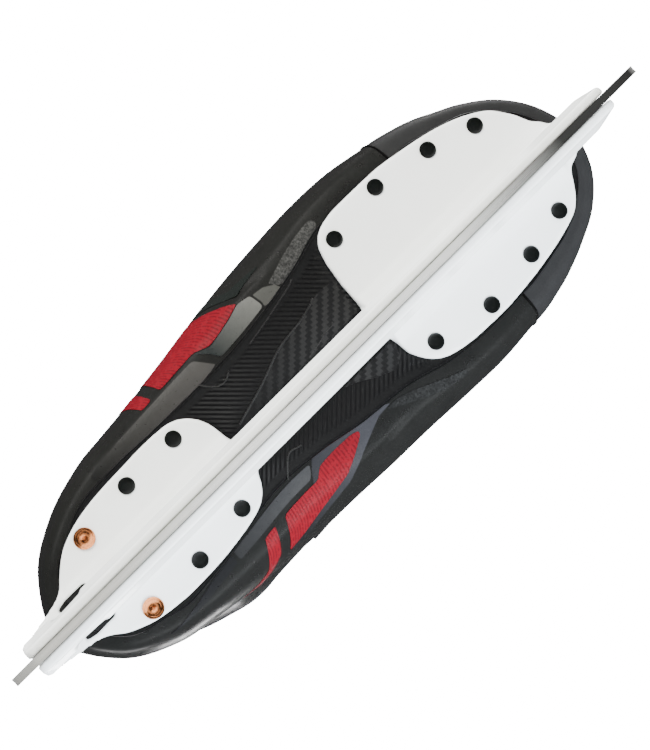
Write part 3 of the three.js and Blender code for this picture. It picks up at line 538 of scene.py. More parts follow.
def twill(name, dark, light, tow=1.45, rough=0.33):
    """Woven carbon cloth, two over and two under, with fibres along X and Y."""
    k = Mat(name, rough=rough, Coat_Weight=0.05, Coat_Roughness=0.12, Specular_IOR_Level=0.25)
    x, y, _ = k.xyz(k.mapped((1000 / tow, 1000 / tow, 1000 / tow)))
    step = k.math("ADD", k.math("FLOOR", x), k.math("FLOOR", y))
    warp = k.math("LESS_THAN", k.math("FRACT", k.math("MULTIPLY", step, 0.25)), 0.5)
    along_x, along_y = k.noise(1.0, 2, 0.5, k.mapped((700, 5200, 900))), k.noise(1.0, 2, 0.5, k.mapped((5200, 700, 900)))
    on = k.math("MULTIPLY", warp, k.remap(along_x, 0.3, 0.7, 0.6, 1.0))
    off = k.math("MULTIPLY", k.math("SUBTRACT", 1.0, warp), k.remap(along_y, 0.3, 0.7, 0.0, 0.2))
    # painted highlight: the light weave fades out towards the rear, as the light on it runs out
    px, _, _ = k.xyz()
    painted_light_falloff = k.remap(px, -34, 8, 0.12, 1.0)
    k.color(k.mix(k.math("MULTIPLY", k.math("ADD", on, off), painted_light_falloff), dark, light))
    ex = k.math("ABSOLUTE", k.math("SUBTRACT", k.math("FRACT", x), 0.5))
    ey = k.math("ABSOLUTE", k.math("SUBTRACT", k.math("FRACT", y), 0.5))
    k.bump(k.math("SUBTRACT", 1.0, k.math("MAXIMUM", k.math("MULTIPLY", ex, ex), k.math("MULTIPLY", ey, ey))), 0.2, 0.6)
    return k.m


def quarter_gloss():
    k = Mat("quarter_composite", rough=0.36, Coat_Weight=0.06, Coat_Roughness=0.15, Specular_IOR_Level=0.28)
    n, f = k.noise(0.08, 3), k.noise(0.55, 3)
    base = k.mix(n, (0.0062, 0.0063, 0.0060), (0.0100, 0.0100, 0.0095))
    k.color(k.mix(k.remap(f, 0.35, 0.7, 0.0, 0.10), base, (0.016, 0.016, 0.0155)))
    k.rough(k.remap(k.noise(0.3, 3), 0.3, 0.7, 0.26, 0.36))
    k.bump(f, 0.02, 0.3)
    return k.m


def cap_matte():
    k = Mat("toe_cap_plastic", rough=0.55, Specular_IOR_Level=0.25)
    n = k.noise(0.2, 3)
    k.color(k.mix(n, (0.0125, 0.0125, 0.013), (0.018, 0.018, 0.0185)))
    k.rough(k.remap(k.noise(2.0, 3), 0.3, 0.7, 0.48, 0.64))
    k.bump(k.noise(2.6, 4, 0.7), 0.08, 0.5)
    return k.m


def film(name, a, b, rough=0.35, hatch=None, painted_light_falloff=None):
    k = Mat(name, rough=rough, Coat_Weight=0.05, Coat_Roughness=0.15, Specular_IOR_Level=0.28)
    n = k.noise(0.35, 3)
    c = k.mix(n, a, b)
    if painted_light_falloff:
        # painted shade: the colour darkens along the skate to a shade tone, as the light falls off
        x0, x1, dark = painted_light_falloff
        c = k.mix(k.remap(k.xyz()[0], x0, x1, 0.0, 1.0), c, dark)
    if hatch:
        x, y, z = k.xyz()
        q = k.math("ADD", k.math("MULTIPLY", x, 0.83), k.math("MULTIPLY", z, 0.55))
        line = k.math("FRACT", k.math("MULTIPLY", q, 1 / 1.1))
        wob = k.noise(0.5, 2)
        on = k.math("MULTIPLY", k.math("GREATER_THAN", line, 0.58), k.math("GREATER_THAN", wob, 0.44))
        c = k.mix(k.math("MULTIPLY", on, 0.75), c, hatch)
        k.bump(on, 0.05, 0.3)
    else:
        k.bump(k.noise(3.0, 3), 0.03, 0.4)
    k.color(c)
    k.rough(k.remap(k.noise(0.9, 3), 0.3, 0.7, rough - 0.07, rough + 0.1))
    return k.m


def speckled(name, a, b):
    """A fine printed weave that breaks up in patches."""
    k = Mat(name, rough=0.5, Specular_IOR_Level=0.3)
    n, m = k.noise(1.25, 4, 0.85), k.noise(0.35, 3, 0.6)
    f = k.math("MULTIPLY", k.remap(n, 0.40, 0.60, 0.0, 1.0), k.remap(m, 0.3, 0.6, 0.45, 1.0))
    k.color(k.mix(f, a, b))
    k.bump(f, 0.06, 0.5)
    return k.m


def fabric(name, a, b, pitch=0.9, rough=0.9, sheen=0.3, bump=0.18, fuzz=1.6):
    k = Mat(name, rough=rough, Sheen_Weight=sheen * 0.3, Sheen_Roughness=0.5, Specular_IOR_Level=0.2)
    s = 1000 / pitch
    w = k.wave(1 / 6.2832 * 6.2832 / 6.2832, k.mapped((s, s, s), (0.3, 0.5, 0.8)), "X", 0.6)
    w2 = k.wave(1 / 6.2832, k.mapped((s, s, s), (0.3, 0.5, 0.8)), "Y", 0.6)
    knit = k.math("MULTIPLY", w, w2)
    n = k.noise(fuzz, 4, 0.7)
    f = k.math("ADD", k.math("MULTIPLY", knit, 0.6), k.math("MULTIPLY", n, 0.5))
    k.color(k.mix(f, a, b))
    k.bump(f, bump, 0.7)
    return k.m


def felt(name, a, b, rough=0.95):
    k = Mat(name, rough=rough, Sheen_Weight=0.15, Sheen_Roughness=0.45, Specular_IOR_Level=0.2)
    n1, n2 = k.noise(0.9, 6, 0.75, distort=1.2), k.noise(4.5, 3, 0.6)
    k.color(k.mix(n1, a, b))
    k.bump(k.math("ADD", n1, k.math("MULTIPLY", n2, 0.5)), 0.25, 0.7)
    return k.m


def leather(name, a, b, rough=0.5, scale=1.1):
    k = Mat(name, rough=rough, Specular_IOR_Level=0.28)
    cell = k.voronoi(scale, None, "DISTANCE_TO_EDGE")
    n = k.noise(0.3, 4)
    k.color(k.mix(n, a, b))
    k.rough(k.remap(n, 0.3, 0.7, rough - 0.06, rough + 0.1))
    k.bump(k.math("MINIMUM", k.math("MULTIPLY", cell, 4.0), 1.0), 0.1, 0.4)
    return k.m


def woven_lace():
    k = Mat("waxed_lace", rough=0.7, Sheen_Weight=0.05, Sheen_Roughness=0.4, Specular_IOR_Level=0.25)
    v = k.mapped((1000, 1000, 1000), (0.4, 0.7, 0.2))
    a, b = k.wave(0.42, v, "DIAGONAL"), k.wave(0.42, k.mapped((-1000, 1000, 1000), (0.4, 0.7, 0.2)), "DIAGONAL")
    f = k.math("MULTIPLY", a, b)
    k.color(k.mix(f, (0.003, 0.003, 0.0034), (0.015, 0.015, 0.016)))
    k.bump(f, 0.15, 0.8)
    return k.m


MAT = {
    "white": plastic_white(), "steel": steel_brushed(), "black_rivet": rivet_black(), "copper": rivet_copper(),
    "sole": sole_black(), "twill": twill("sole_twill", (0.0018, 0.0018, 0.0020), (0.0135, 0.0135, 0.0135)),
    "quarter": quarter_gloss(), "cap": cap_matte(),
    "red": film("red_film", (0.116, 0.0018, 0.0062), (0.146, 0.0025, 0.0084), 0.4, (0.062, 0.0018, 0.0044)),
    # the gray films carry painted shade: their last argument darkens them along the skate
    "gray_lateral": film("gray_film", (0.082, 0.0825, 0.077), (0.100, 0.100, 0.093), 0.34, None, (-2, -27, (0.013, 0.0155, 0.0155))),
    "gray_band": film("gray_band_film", (0.033, 0.0315, 0.0300), (0.042, 0.0400, 0.0385), 0.34, None, (-34, -92, (0.0065, 0.0065, 0.0064))),
    "gray_medial": film("violet_gray_film", (0.025, 0.025, 0.0290), (0.032, 0.032, 0.0365), 0.34, None, (-8, -50, (0.0085, 0.0085, 0.0092))),
    "edge_film": film("dark_film", (0.006, 0.0075, 0.007), (0.010, 0.0118, 0.011), 0.3),
    "speckle": speckled("speckled_weave", (0.008, 0.008, 0.008), (0.055, 0.055, 0.053)), "speckle_dim": speckled("dim_speckled_weave", (0.005, 0.005, 0.005), (0.019, 0.0195, 0.0195)),
    "seam": leather("seam_cord", (0.0012, 0.0012, 0.0012), (0.0024, 0.0024, 0.0024), 0.7),
    "gray_tip": film("gray_tip_film", (0.040, 0.0405, 0.037), (0.052, 0.052, 0.048), 0.34),
    "facing": leather("facing_leather", (0.006, 0.006, 0.0065), (0.0125, 0.0125, 0.013), 0.45),
    "lining": fabric("lining_knit", (0.0045, 0.0045, 0.0052), (0.022, 0.022, 0.024), 1.3),
    "felt": felt("tongue_felt", (0.012, 0.0125, 0.0138), (0.034, 0.035, 0.038)),
    "binding": fabric("binding_tape", (0.003, 0.003, 0.0034), (0.013, 0.013, 0.014), 0.7, 0.8, 0.2, 0.1),
    "foam": felt("foam_gray", (0.022, 0.023, 0.026), (0.052, 0.053, 0.058)),
    "lace": woven_lace(), "thread": fabric("thread", (0.02, 0.02, 0.021), (0.06, 0.06, 0.063), 0.5, 0.7, 0.1, 0.06),
    "trigger": cap_matte(), "line": film("moulded_line", (0.008, 0.008, 0.008), (0.018, 0.018, 0.0176), 0.3),
    "gray_dim": film("dim_gray_film", (0.011, 0.0112, 0.011), (0.0165, 0.017, 0.0165), 0.33),
    # painted shade: the gray strip film also darkens along the skate
    "gray_strip": film("gray_strip_film", (0.024, 0.024, 0.0255), (0.036, 0.036, 0.037), 0.34, None, (-38, -78, (0.014, 0.014, 0.0145))),
    "board": felt("insole_board", (0.05, 0.05, 0.054), (0.09, 0.09, 0.095)),
}


# ------------------------------------------------------------------ more of the boot form
def pchip(xs, ys, x):
    """Smooth curve through a table, without overshoot."""
    xs, ys, x = np.asarray(xs, float), np.asarray(ys, float), np.asarray(x, float)
    h = np.diff(xs)
    d = np.diff(ys) / h
    g = np.zeros_like(ys)
    g[0], g[-1] = d[0], d[-1]
    for i in range(1, len(ys) - 1):
        if d[i - 1] * d[i] > 0:
            w1, w2 = 2 * h[i] + h[i - 1], h[i] + 2 * h[i - 1]
            g[i] = (w1 + w2) / (w1 / d[i - 1] + w2 / d[i])
    k = np.clip(np.searchsorted(xs, x) - 1, 0, len(xs) - 2)
    t = np.clip((x - xs[k]) / h[k], 0, 1)
    return (
        (2 * t**3 - 3 * t**2 + 1) * ys[k] + (t**3 - 2 * t**2 + t) * h[k] * g[k]
        + (-2 * t**3 + 3 * t**2) * ys[k + 1] + (t**3 - t**2) * h[k] * g[k + 1])


TOE_T = np.array(TOE, float)


def toe_point(a, v):
    a, v = np.broadcast_arrays(np.asarray(a, float), np.asarray(v, float))
    inner = a > 90
    q = np.where(inner, 180 - a, a)
    k = smooth(q / 90)
    e = np.where(inner, pchip(TOE_T[:, 0], TOE_T[:, 2], q), pchip(TOE_T[:, 0], TOE_T[:, 1], q))
    w = np.where(inner, pchip(TOE_T[:, 0], TOE_T[:, 4], q), pchip(TOE_T[:, 0], TOE_T[:, 3], q))
    z0 = float(sole_z(FRONT_X)) + SHELL_Z
    side = [np.where(inner, i, o) for i, o in ((40.5, 48.5), (33, 38), (24, 24))]
    zw = lerp(78, 73, k)
    r = np.stack([e - FLANGE, lerp(e, w, 0.66), w, lerp(side[0], w - 4.4, k), lerp(side[1], w - 14.5, k), lerp(side[2], w - 32, k), 0 * w])
    z = np.stack([z0 + 0 * w, z0 + 0.2 * (zw - z0), zw, lerp(90, 84.5, k), lerp(99, 93.5, k), lerp(105, 101.5, k), 109.5 + 0 * w])
    g = np.stack([r, z], -1)
    g = np.concatenate([2 * g[:1] - g[1:2], g, 2 * g[-1:] - g[-2:-1]])
    t = v * 6
    i = np.clip(np.floor(t), 0, 5).astype(int)
    c = cr_w(t - i)
    p = sum(c[..., n, None] * np.take_along_axis(g, (i + n)[None, ..., None] + np.zeros((1, *i.shape, 2), int), 0)[0] for n in range(4))
    rr, b = np.maximum(0, p[..., 0]), np.radians(a)
    return np.stack([FRONT_X + GAP + rr * np.sin(b), -rr * np.cos(b), p[..., 1]], -1)


def toe(a, v, off=0.0):
    a, v = np.broadcast_arrays(np.asarray(a, float), np.asarray(v, float))
    a0, a1, v0, v1 = np.clip(a - 1, 0, 180), np.clip(a + 1, 0, 180), np.clip(v - 0.01, 0, 1), np.clip(v + 0.01, 0, 1)
    n = np.cross(toe_point(a1, v) - toe_point(a0, v), toe_point(a, v1) - toe_point(a, v0))
    n[..., 0] = np.where((a < 0.5) | (a > 179.5), 0, n[..., 0])
    n = unit(n)
    p = toe_point(a, v)
    out = np.where(v > 0.5, n[..., 2], (n * (p - np.array([FRONT_X, 0, 85]))).sum(-1))
    n = np.where((out < 0)[..., None], -n, n)
    n = np.where((v > 0.985)[..., None], np.array([0, 0, 1.0]), n)
    return p + n * np.asarray(off, float)[..., None]


def edge_rows():
    out = []
    for s in (0, 1):
        rows = []
        hx, hy = [0] + [h[0] for h in HEEL], [SIDE[9][1 + s]] + [h[1 + s] for h in HEEL]
        for a in range(90, 0, -1):
            r = float(pchip(hx, hy, a))
            rows.append((HEEL_C - r * math.sin(math.radians(a)), r * math.cos(math.radians(a))))
        sx, sy = [q[0] for q in reversed(SIDE)], [q[1 + s] for q in reversed(SIDE)]
        for x in np.arange(-95, 74.01, 1):
            rows.append((float(x), float(pchip(sx, sy, x))))
        for a in range(1, 91):
            r = float(pchip(TOE_T[:, 0], TOE_T[:, 1 + s], a))
            x = FRONT_X + r * math.sin(math.radians(a))
            if x > rows[-1][0]:
                rows.append((x, max(0.0, r * math.cos(math.radians(a)))))
        out.append(np.array(rows))
    return out


EDGE = edge_rows()


def half_width(s, x):
    return np.interp(x, EDGE[s][:, 0], EDGE[s][:, 1])


def densify(poly, step=2.0, scale=(1.0, 1.0), closed=True):
    p = np.asarray(poly, float)
    out = []
    n = len(p)
    for i in range(n if closed else n - 1):
        a, b = p[i], p[(i + 1) % n]
        k = max(1, int(math.ceil(np.linalg.norm((b - a) * np.asarray(scale)) / step)))
        out += [a + (b - a) * j / k for j in range(k)]
    if not closed:
        out.append(p[-1])
    return np.array(out)


def inside(poly, pts):
    x, y = pts[:, 0], pts[:, 1]
    r = np.zeros(len(pts), bool)
    for (x0, y0), (x1, y1) in zip(poly, np.roll(poly, -1, 0)):
        if y0 != y1:
            r ^= ((y0 > y) != (y1 > y)) & (x < (x1 - x0) * (y - y0) / (y1 - y0) + x0)
    return r


def round_corners(poly, scale, radius=1.5, n=4):
    p = np.asarray(poly, float) * scale
    out = []
    for i in range(len(p)):
        a, b, c = p[i - 1], p[i], p[(i + 1) % len(p)]
        la, lc = np.linalg.norm(a - b), np.linalg.norm(c - b)
        r = min(radius, la * 0.4, lc * 0.4)
        p0, p1 = b + (a - b) / la * r, b + (c - b) / lc * r
        out += [(1 - t) ** 2 * p0 + 2 * t * (1 - t) * b + t * t * p1 for t in np.linspace(0, 1, n)]
    return np.array(out) / scale


def patch(name, poly, place_at, t_out, t_in=-0.12, scale=(20.0, 160.0), step=2.2, radius=1.5, smooth_angle=35.0):
    """A thin piece with that outline in the surface's own coordinates. place_at(p, q, off) gives points in mm."""
    scale = np.array(scale)
    border = densify(round_corners(poly, scale, radius), step, scale)
    lo, hi = (border * scale).min(0), (border * scale).max(0)
    gx, gy = np.meshgrid(np.arange(lo[0], hi[0], step), np.arange(lo[1], hi[1], step), indexing="ij")
    pts = np.stack([gx.ravel(), gy.ravel()], -1)
    pts = pts[inside(border * scale, pts)]
    seg = border * scale
    if len(pts):
        d = np.full(len(pts), 1e9)
        for i in range(len(seg)):
            a, b = seg[i], seg[(i + 1) % len(seg)]
            ab = b - a
            t = np.clip(((pts - a) @ ab) / max(ab @ ab, 1e-12), 0, 1)
            d = np.minimum(d, np.linalg.norm(pts - a - t[:, None] * ab, axis=1))
        pts = pts[d > step * 0.4]
    allp = np.concatenate([seg, pts])
    from mathutils.geometry import delaunay_2d_cdt

    n = len(seg)
    vs, es, fs, *_ = delaunay_2d_cdt([Vector(p) for p in allp], [(i, (i + 1) % n) for i in range(n)], [], 1, 1e-5)
    vs = np.array([tuple(p) for p in vs]) / scale
    fs = [tuple(f) for f in fs]
    top, low = place_at(vs[:, 0], vs[:, 1], t_out), place_at(vs[:, 0], vs[:, 1], t_in)
    k = len(vs)
    count = {}
    for f in fs:
        for i in range(len(f)):
            e = (f[i], f[(i + 1) % len(f)])
            key = tuple(sorted(e))
            count.setdefault(key, []).append(e)
    faces = list(fs) + [tuple(reversed([i + k for i in f])) for f in fs]
    for e in count.values():
        if len(e) == 1:
            a, b = e[0]
            faces.append((b, a, a + k, b + k))
    return mesh_object(name, np.concatenate([top, low]), faces, smooth_angle)


def on_side(s):
    def f(u, v, off):
        u = np.asarray(u, float)
        return shell(24 - u if s else u, v, np.zeros_like(u) + off)

    return f


def on_sole(x, y, off):
    """Under the outsole: off counts downwards."""
    return np.stack([x, y, sole_z(x) - off], -1)


# ------------------------------------------------------------------ stage and lights
def stage():
    w = bpy.data.worlds.new("world")
    bpy.context.scene.world = w
    w.use_nodes = True
    t = w.node_tree
    bg = t.nodes["Background"]
    bg.inputs["Strength"].default_value = 1.0
    path = t.nodes.new("ShaderNodeLightPath")
    cam_bg = t.nodes.new("ShaderNodeBackground")
    cam_bg.inputs["Color"].default_value = (1, 1, 1, 1)
    cam_bg.inputs["Strength"].default_value = CAMERA_WHITE
    bg.inputs["Color"].default_value = (0.93, 0.96, 1.0, 1)
    bg.inputs["Strength"].default_value = WORLD
    dim = t.nodes.new("ShaderNodeBackground")
    dim.inputs["Color"].default_value = (0.93, 0.96, 1.0, 1)
    dim.inputs["Strength"].default_value = GLOSSY_WORLD
    first = t.nodes.new("ShaderNodeMixShader")
    t.links.new(path.outputs["Is Glossy Ray"], first.inputs[0])
    t.links.new(bg.outputs[0], first.inputs[1])
    t.links.new(dim.outputs[0], first.inputs[2])
    mix = t.nodes.new("ShaderNodeMixShader")
    t.links.new(path.outputs["Is Camera Ray"], mix.inputs[0])
    t.links.new(first.outputs[0], mix.inputs[1])
    t.links.new(cam_bg.outputs[0], mix.inputs[2])
    t.links.new(mix.outputs[0], t.nodes["World Output"].inputs[0])

    me = bpy.data.meshes.new("floor")
    me.from_pydata([(-4, -4, -0.0005), (4, -4, -0.0005), (4, 4, -0.0005), (-4, 4, -0.0005)], [], [(0, 1, 2, 3)])
    floor = bpy.data.objects.new("floor", me)
    bpy.context.scene.collection.objects.link(floor)
    k = Mat("floor", (0.8, 0.8, 0.8), 0.6)
    k.color(k.mix(k.noise(0.02, 2), (0.78, 0.78, 0.785), (0.82, 0.82, 0.82)))
    geo, tr, mx = k.node("ShaderNodeNewGeometry"), k.node("ShaderNodeBsdfTransparent"), k.node("ShaderNodeMixShader")
    k.put(mx.inputs[0], geo.outputs["Backfacing"])
    k.put(mx.inputs[1], k.b.outputs[0])
    k.put(mx.inputs[2], tr.outputs[0])
    k.put(k.t.nodes["Material Output"].inputs[0], mx.outputs[0])
    me.materials.append(k.m)
    floor.visible_shadow = floor.visible_diffuse = floor.visible_glossy = floor.visible_transmission = False

    def area(name, pos, aim, size, power, color=(1, 1, 1), glossy=True, diffuse=True):
        d = bpy.data.lights.new(name, "AREA")
        d.shape = "RECTANGLE"
        d.size, d.size_y = size
        d.energy = power
        d.color = color
        o = bpy.data.objects.new(name, d)
        bpy.context.scene.collection.objects.link(o)
        o.location = pos
        o.visible_glossy = glossy
        o.visible_diffuse = diffuse
        o.rotation_mode = "QUATERNION"
        o.rotation_quaternion = (Vector(aim) - Vector(pos)).to_track_quat("-Z", "Y")

    for spec in LIGHTS:
        area(*spec)


CAMERA_WHITE = 18.0
WORLD = 1.25
GLOSSY_WORLD = 0.07
LIGHTS = [
    ("below_outer", (0.10, -0.85, -0.75), (0, 0, 0.06), (0.9, 0.5), 38, (1.0, 0.985, 0.90), False),
    ("below_inner", (-0.10, 0.85, -0.75), (0, 0, 0.06), (0.9, 0.5), 56, (0.88, 0.945, 1.0), False),
    ("side_outer", (0.1, -1.1, 0.25), (0, 0, 0.08), (1.2, 0.35), 12, (1, 1, 1), False),
    ("side_inner", (-0.1, 1.1, 0.25), (0, 0, 0.08), (1.2, 0.35), 10, (0.97, 0.985, 1), False),
    ("above", (0.3, -0.5, 1.3), (0, 0, 0.12), (1.2, 0.9), 30, (1, 0.99, 0.97), False),
    ("high_front", (1.3, -1.2, 0.75), (0, 0, 0.12), (0.9, 0.5), 12, (1, 1, 1), True, False),
    ("high_back", (-1.3, 1.2, 0.75), (0, 0, 0.12), (0.9, 0.5), 9, (1, 1, 1), True, False),
    ("toe", (1.1, 0.2, -0.35), (0, 0, 0.07), (0.5, 0.5), 8, (1, 1, 1), False),
    ("card_below", (-0.28, 0, -1.2), (-0.28, 0, 0), (1.4, 0.5), 2.6, (1, 1, 1), True, False),
    ("card_outer", (-0.2, -0.9, -0.65), (0, 0, 0.06), (1.1, 0.16), 1.5, (1, 0.99, 0.97), True, False),
    ("sky_inner", (-0.37, 0.74, 1.05), (-0.09, 0.03, 0.10), (0.28, 0.22), 2.5, (1, 1, 1), True, False),
    ("card_inner", (-0.2, 0.9, -0.65), (0, 0, 0.06), (1.1, 0.16), 1.5, (0.95, 0.98, 1), True, False),
]
stage()

# ------------------------------------------------------------------ blade holder
STATIONS = np.array([
    [139, 23.6, 36, 4.4, 4.4], [138.2, 21.8, 39, 5, 5], [136, 20.2, 42.4, 5.7, 5.7], [132, 18.9, 47.2, 6.6, 6.5],
    [128.6, 18.4, 51, 7.3, 7.1], [127, 18.2, 53.5, 8, 7.6], [125, 18.1, 53.5, 11, 8.8], [122, 18, 53.5, 14.2, 9.6],
    [119.7, 18, 53.5, 19.4, 11.6], [117.2, 18, 53.5, 23.3, 15.2], [113.6, 18, 53.5, 27.9, 19.8], [109, 18, 53.5, 31.1, 23.3],
    [101, 18, 53.5, 34.9, 25.9], [90, 18, 53.5, 38.2, 28.2], [78.5, 18, 53.5, 40.4, 29.8], [63.5, 18, 53.5, 42.3, 30.9],
    [52, 18, 53.5, 42.5, 30.7], [43, 18, 53.5, 42.4, 29.9], [35.5, 18, 53.5, 41.2, 28.2], [31, 18, 53.5, 39, 25.9],
    [28, 18, 53.5, 35.3, 22.9], [25.8, 18, 53.5, 28.5, 19.4], [24.4, 18, 53.5, 19.5, 16.2], [23.7, 18, 53.5, 9.5, 9.5],
    [22.6, 18, 51.2, 7.4, 7.4], [20.4, 18, 46.2, 7.2, 7.2], [17, 18, 41.2, 7.1, 7.1], [12, 18, 37.2, 7, 7], [5, 18, 34.8, 7, 7],
    [-4, 18, 34, 7, 7], [-30, 18, 34.2, 7, 7], [-37, 18, 36.2, 7, 7], [-41, 18, 40.2, 7.1, 7.1], [-43.6, 18, 46.5, 7.2, 7.2],
    [-45.2, 18, 55.5, 7.3, 7.3], [-45.9, 18, 63.5, 9.2, 7.4], [-46.9, 18, 63.5, 16.6, 8.4], [-48.6, 18, 63.5, 21.2, 11.7],
    [-51, 18, 63.5, 24.5, 14.8], [-54.6, 18, 63.5, 27.4, 17.5], [-60.5, 18, 63.5, 29.2, 19.5], [-70, 18, 63.5, 29.6, 21.2],
    [-82, 18, 63.5, 29.2, 22.4], [-95, 18, 63.5, 28.5, 22.7], [-105, 18, 63.5, 27.1, 21.9], [-112, 18, 63.5, 25.2, 20.6],
    [-118, 18, 63.5, 22.6, 18.5], [-122.8, 18, 63.5, 19.1, 16.2], [-126.6, 18, 63.5, 15.6, 13.2], [-129.6, 18, 63, 12.6, 11.4],
    [-133, 18, 59, 10.8, 10.2], [-137.5, 18, 51.5, 9.4, 9.2], [-142, 18.2, 42.5, 8.2, 8.2], [-145.4, 19, 34, 7.2, 7.2], [-147, 20.4, 29.4, 6.4, 6.4],
])[::-1]


def holder_half(zb, zt, w, fillet):
    lip, waist, flare, h = min(4.8, w - 0.6), min(6.2, w - 1.0), min(7.2, w + 0.2), zt - zb
    z_waist, z_flare = zb + min(14, 0.62 * h), zb + min(8.5, 0.38 * h)
    tp = min(3.5, 0.12 * h)
    zp = zt - tp
    r = max(0.12, min(fillet, w - 0.75 - waist, zp - z_waist - 0.2))
    zf = zp - r
    pts = [(lip, zb), (lip + 0.4, z_flare - 0.5 if zb + 0.12 * h > z_flare else zb + min(2, 0.1 * h)), (flare, z_flare)]
    pts += [(lerp(flare, waist, t), lerp(z_flare, z_waist, smooth(t) * 0.6 + 0.4 * t)) for t in (0.33, 0.66)]
    pts += [(waist, z_waist), (waist, zf)]
    pts += [(waist + r * (1 - math.cos(a)), zf + r * math.sin(a)) for a in np.radians([15, 30, 45, 60, 75, 90])]
    pts += [(w - 0.9, zp + 0.02), (w - 0.25, zp + 0.25 * tp), (w, zp + 0.5 * tp), (w - 0.1, zt - 0.25 * tp), (w - 0.6, zt)]
    return pts


def slab(name, outline, lo, hi, axis="y"):
    """Outline in X and Z (or X and Y) with a thickness along Y (or Z)."""
    n = len(outline)
    if axis == "y":
        v = [(x, lo, z) for x, z in outline] + [(x, hi, z) for x, z in outline]
    else:
        v = [(x, y, lo) for x, y in outline] + [(x, y, hi) for x, y in outline]
    f = [tuple(range(n)), tuple(reversed(range(n, 2 * n)))] + [(i, (i + 1) % n, n + (i + 1) % n, n + i) for i in range(n)]
    return mesh_object(name, v, f, 30)


def rod(name, r, a, b, sides=32):
    a, b = np.array(a, float), np.array(b, float)
    return sweep(name, [a, b], circle(r, sides), smooth=30)


RIVETS_FRONT = [(34.6, -33.8), (34.6, 20.5), (59.9, -37.1), (59.9, 25.7), (84.8, -33.3), (84.8, 22.8), (104.8, -27.4), (104.8, 18.6)]
RIVETS_REAR = [(-60.7, -23.1), (-60.7, 13.6), (-85.1, -22.8), (-85.1, 16.1)]
RIVETS_HEEL = [(-109.5, -19.8), (-109.5, 16.4)]


def build_holder():
    xs = np.unique(np.round(np.concatenate([STATIONS[:, 0], np.arange(-146.5, 139, 1.5)]), 3))
    cols = [pchip(STATIONS[:, 0], STATIONS[:, c], xs) for c in range(1, 5)]
    rings = []
    for x, zb, zt, wl, wm in zip(xs, *cols):
        inner = holder_half(zb, zt, wm, 8 if x > 0 else 3.9)
        outer = holder_half(zb, zt, wl, 8)[::-1]
        rings.append([(x, y, z) for y, z in inner] + [(x, -y, z) for y, z in outer])
    n, m = len(rings), len(rings[0])
    v = np.array(rings).reshape(-1, 3)
    f = []
    for i in range(n - 1):
        for j in range(m):
            f.append((i * m + j, i * m + (j + 1) % m, (i + 1) * m + (j + 1) % m, (i + 1) * m + j))
    f += [tuple(range(m)), tuple((n - 1) * m + j for j in reversed(range(m)))]
    o = mesh_object("holder", v, f)
    tools = [
        slab("c1", [(-170, 5), (160, 5), (160, 34.5), (141, 32.2), (119, 28.6), (118.2, 32.4), (102.6, 32.4), (102.6, 25.2), (-68.6, 25.2), (-68.6, 34.4), (-82.4, 34.4), (-82.4, 25.2), (-170, 25.2)], -1.64, 1.64),
        slab("c2", [(-69.5, 37.4), (-30, 37.4), (-30, 58.6), (-69.5, 58.6)], -4.7, 4.7),
        slab("c3", [(-84.5, 33.2), (-69, 33.2), (-69, 47), (-84.5, 47)], -3.6, 3.6),
        rod("c4", 1.85, (-62, -12, 44), (-62, 12, 44)),
    ]
    heel = [(-134.2, 6.1), (-131.5, 5.7), (-120.4, 6.3), (-119.8, 7.1), (-121.5, 8.4), (-130.5, 8.5), (-134.2, 7.4)]
    tools += [slab("c5", heel, 10, 70, "z"), slab("c6", [(x, -y) for x, y in heel], 10, 70, "z")]
    holes = join("c7", [rod("h", 2.35, (x, y, 42), (x, y, 80), 20) for x, y in RIVETS_FRONT + RIVETS_REAR + RIVETS_HEEL])
    tools.append(holes)
    cutout(o, *tools)
    r = o.modifiers.new("remesh", "REMESH")
    r.mode = "VOXEL"
    r.voxel_size = 0.0007
    s = o.modifiers.new("smooth", "SMOOTH")
    s.iterations = 5
    s.factor = 0.5
    bake(o, 180)
    return finish_piece(o, "boot", MAT["white"], ["blade_holder"])


RUN_LOW = [(-153.6, 13), (-153.75, 11), (-153.3, 8.8), (-151.2, 6.7), (-147, 4.7), (-140, 3.0)] + [
    (x, max(0.0, abs(x) - 20) ** 2 / 6000) for x in (-125, -105, -85, -62, -40, -20, 20, 40, 62, 85, 105, 120)] + [
    (128, 2.6), (134.5, 4.4), (140.2, 7.4), (145.2, 11.4), (149.4, 16.2), (152.4, 21.0), (153.5, 24.3), (152.4, 26.5), (148, 26.8)]
RUN_TOP = [(137, 26.3), (124, 25.2), (116.5, 24.6), (116.5, 28.4), (114.4, 31), (108.4, 31.2), (106.2, 29.6), (106.6, 27.4), (109.8, 26.9), (110, 24.8), (104, 24.4),
           (-70.5, 24.4), (-71.2, 31.4), (-73, 33), (-78.6, 33), (-79.4, 31.6), (-76.6, 29.6), (-76.6, 27), (-80.5, 24.4), (-138, 23.6), (-146.5, 21.5), (-152, 17)]


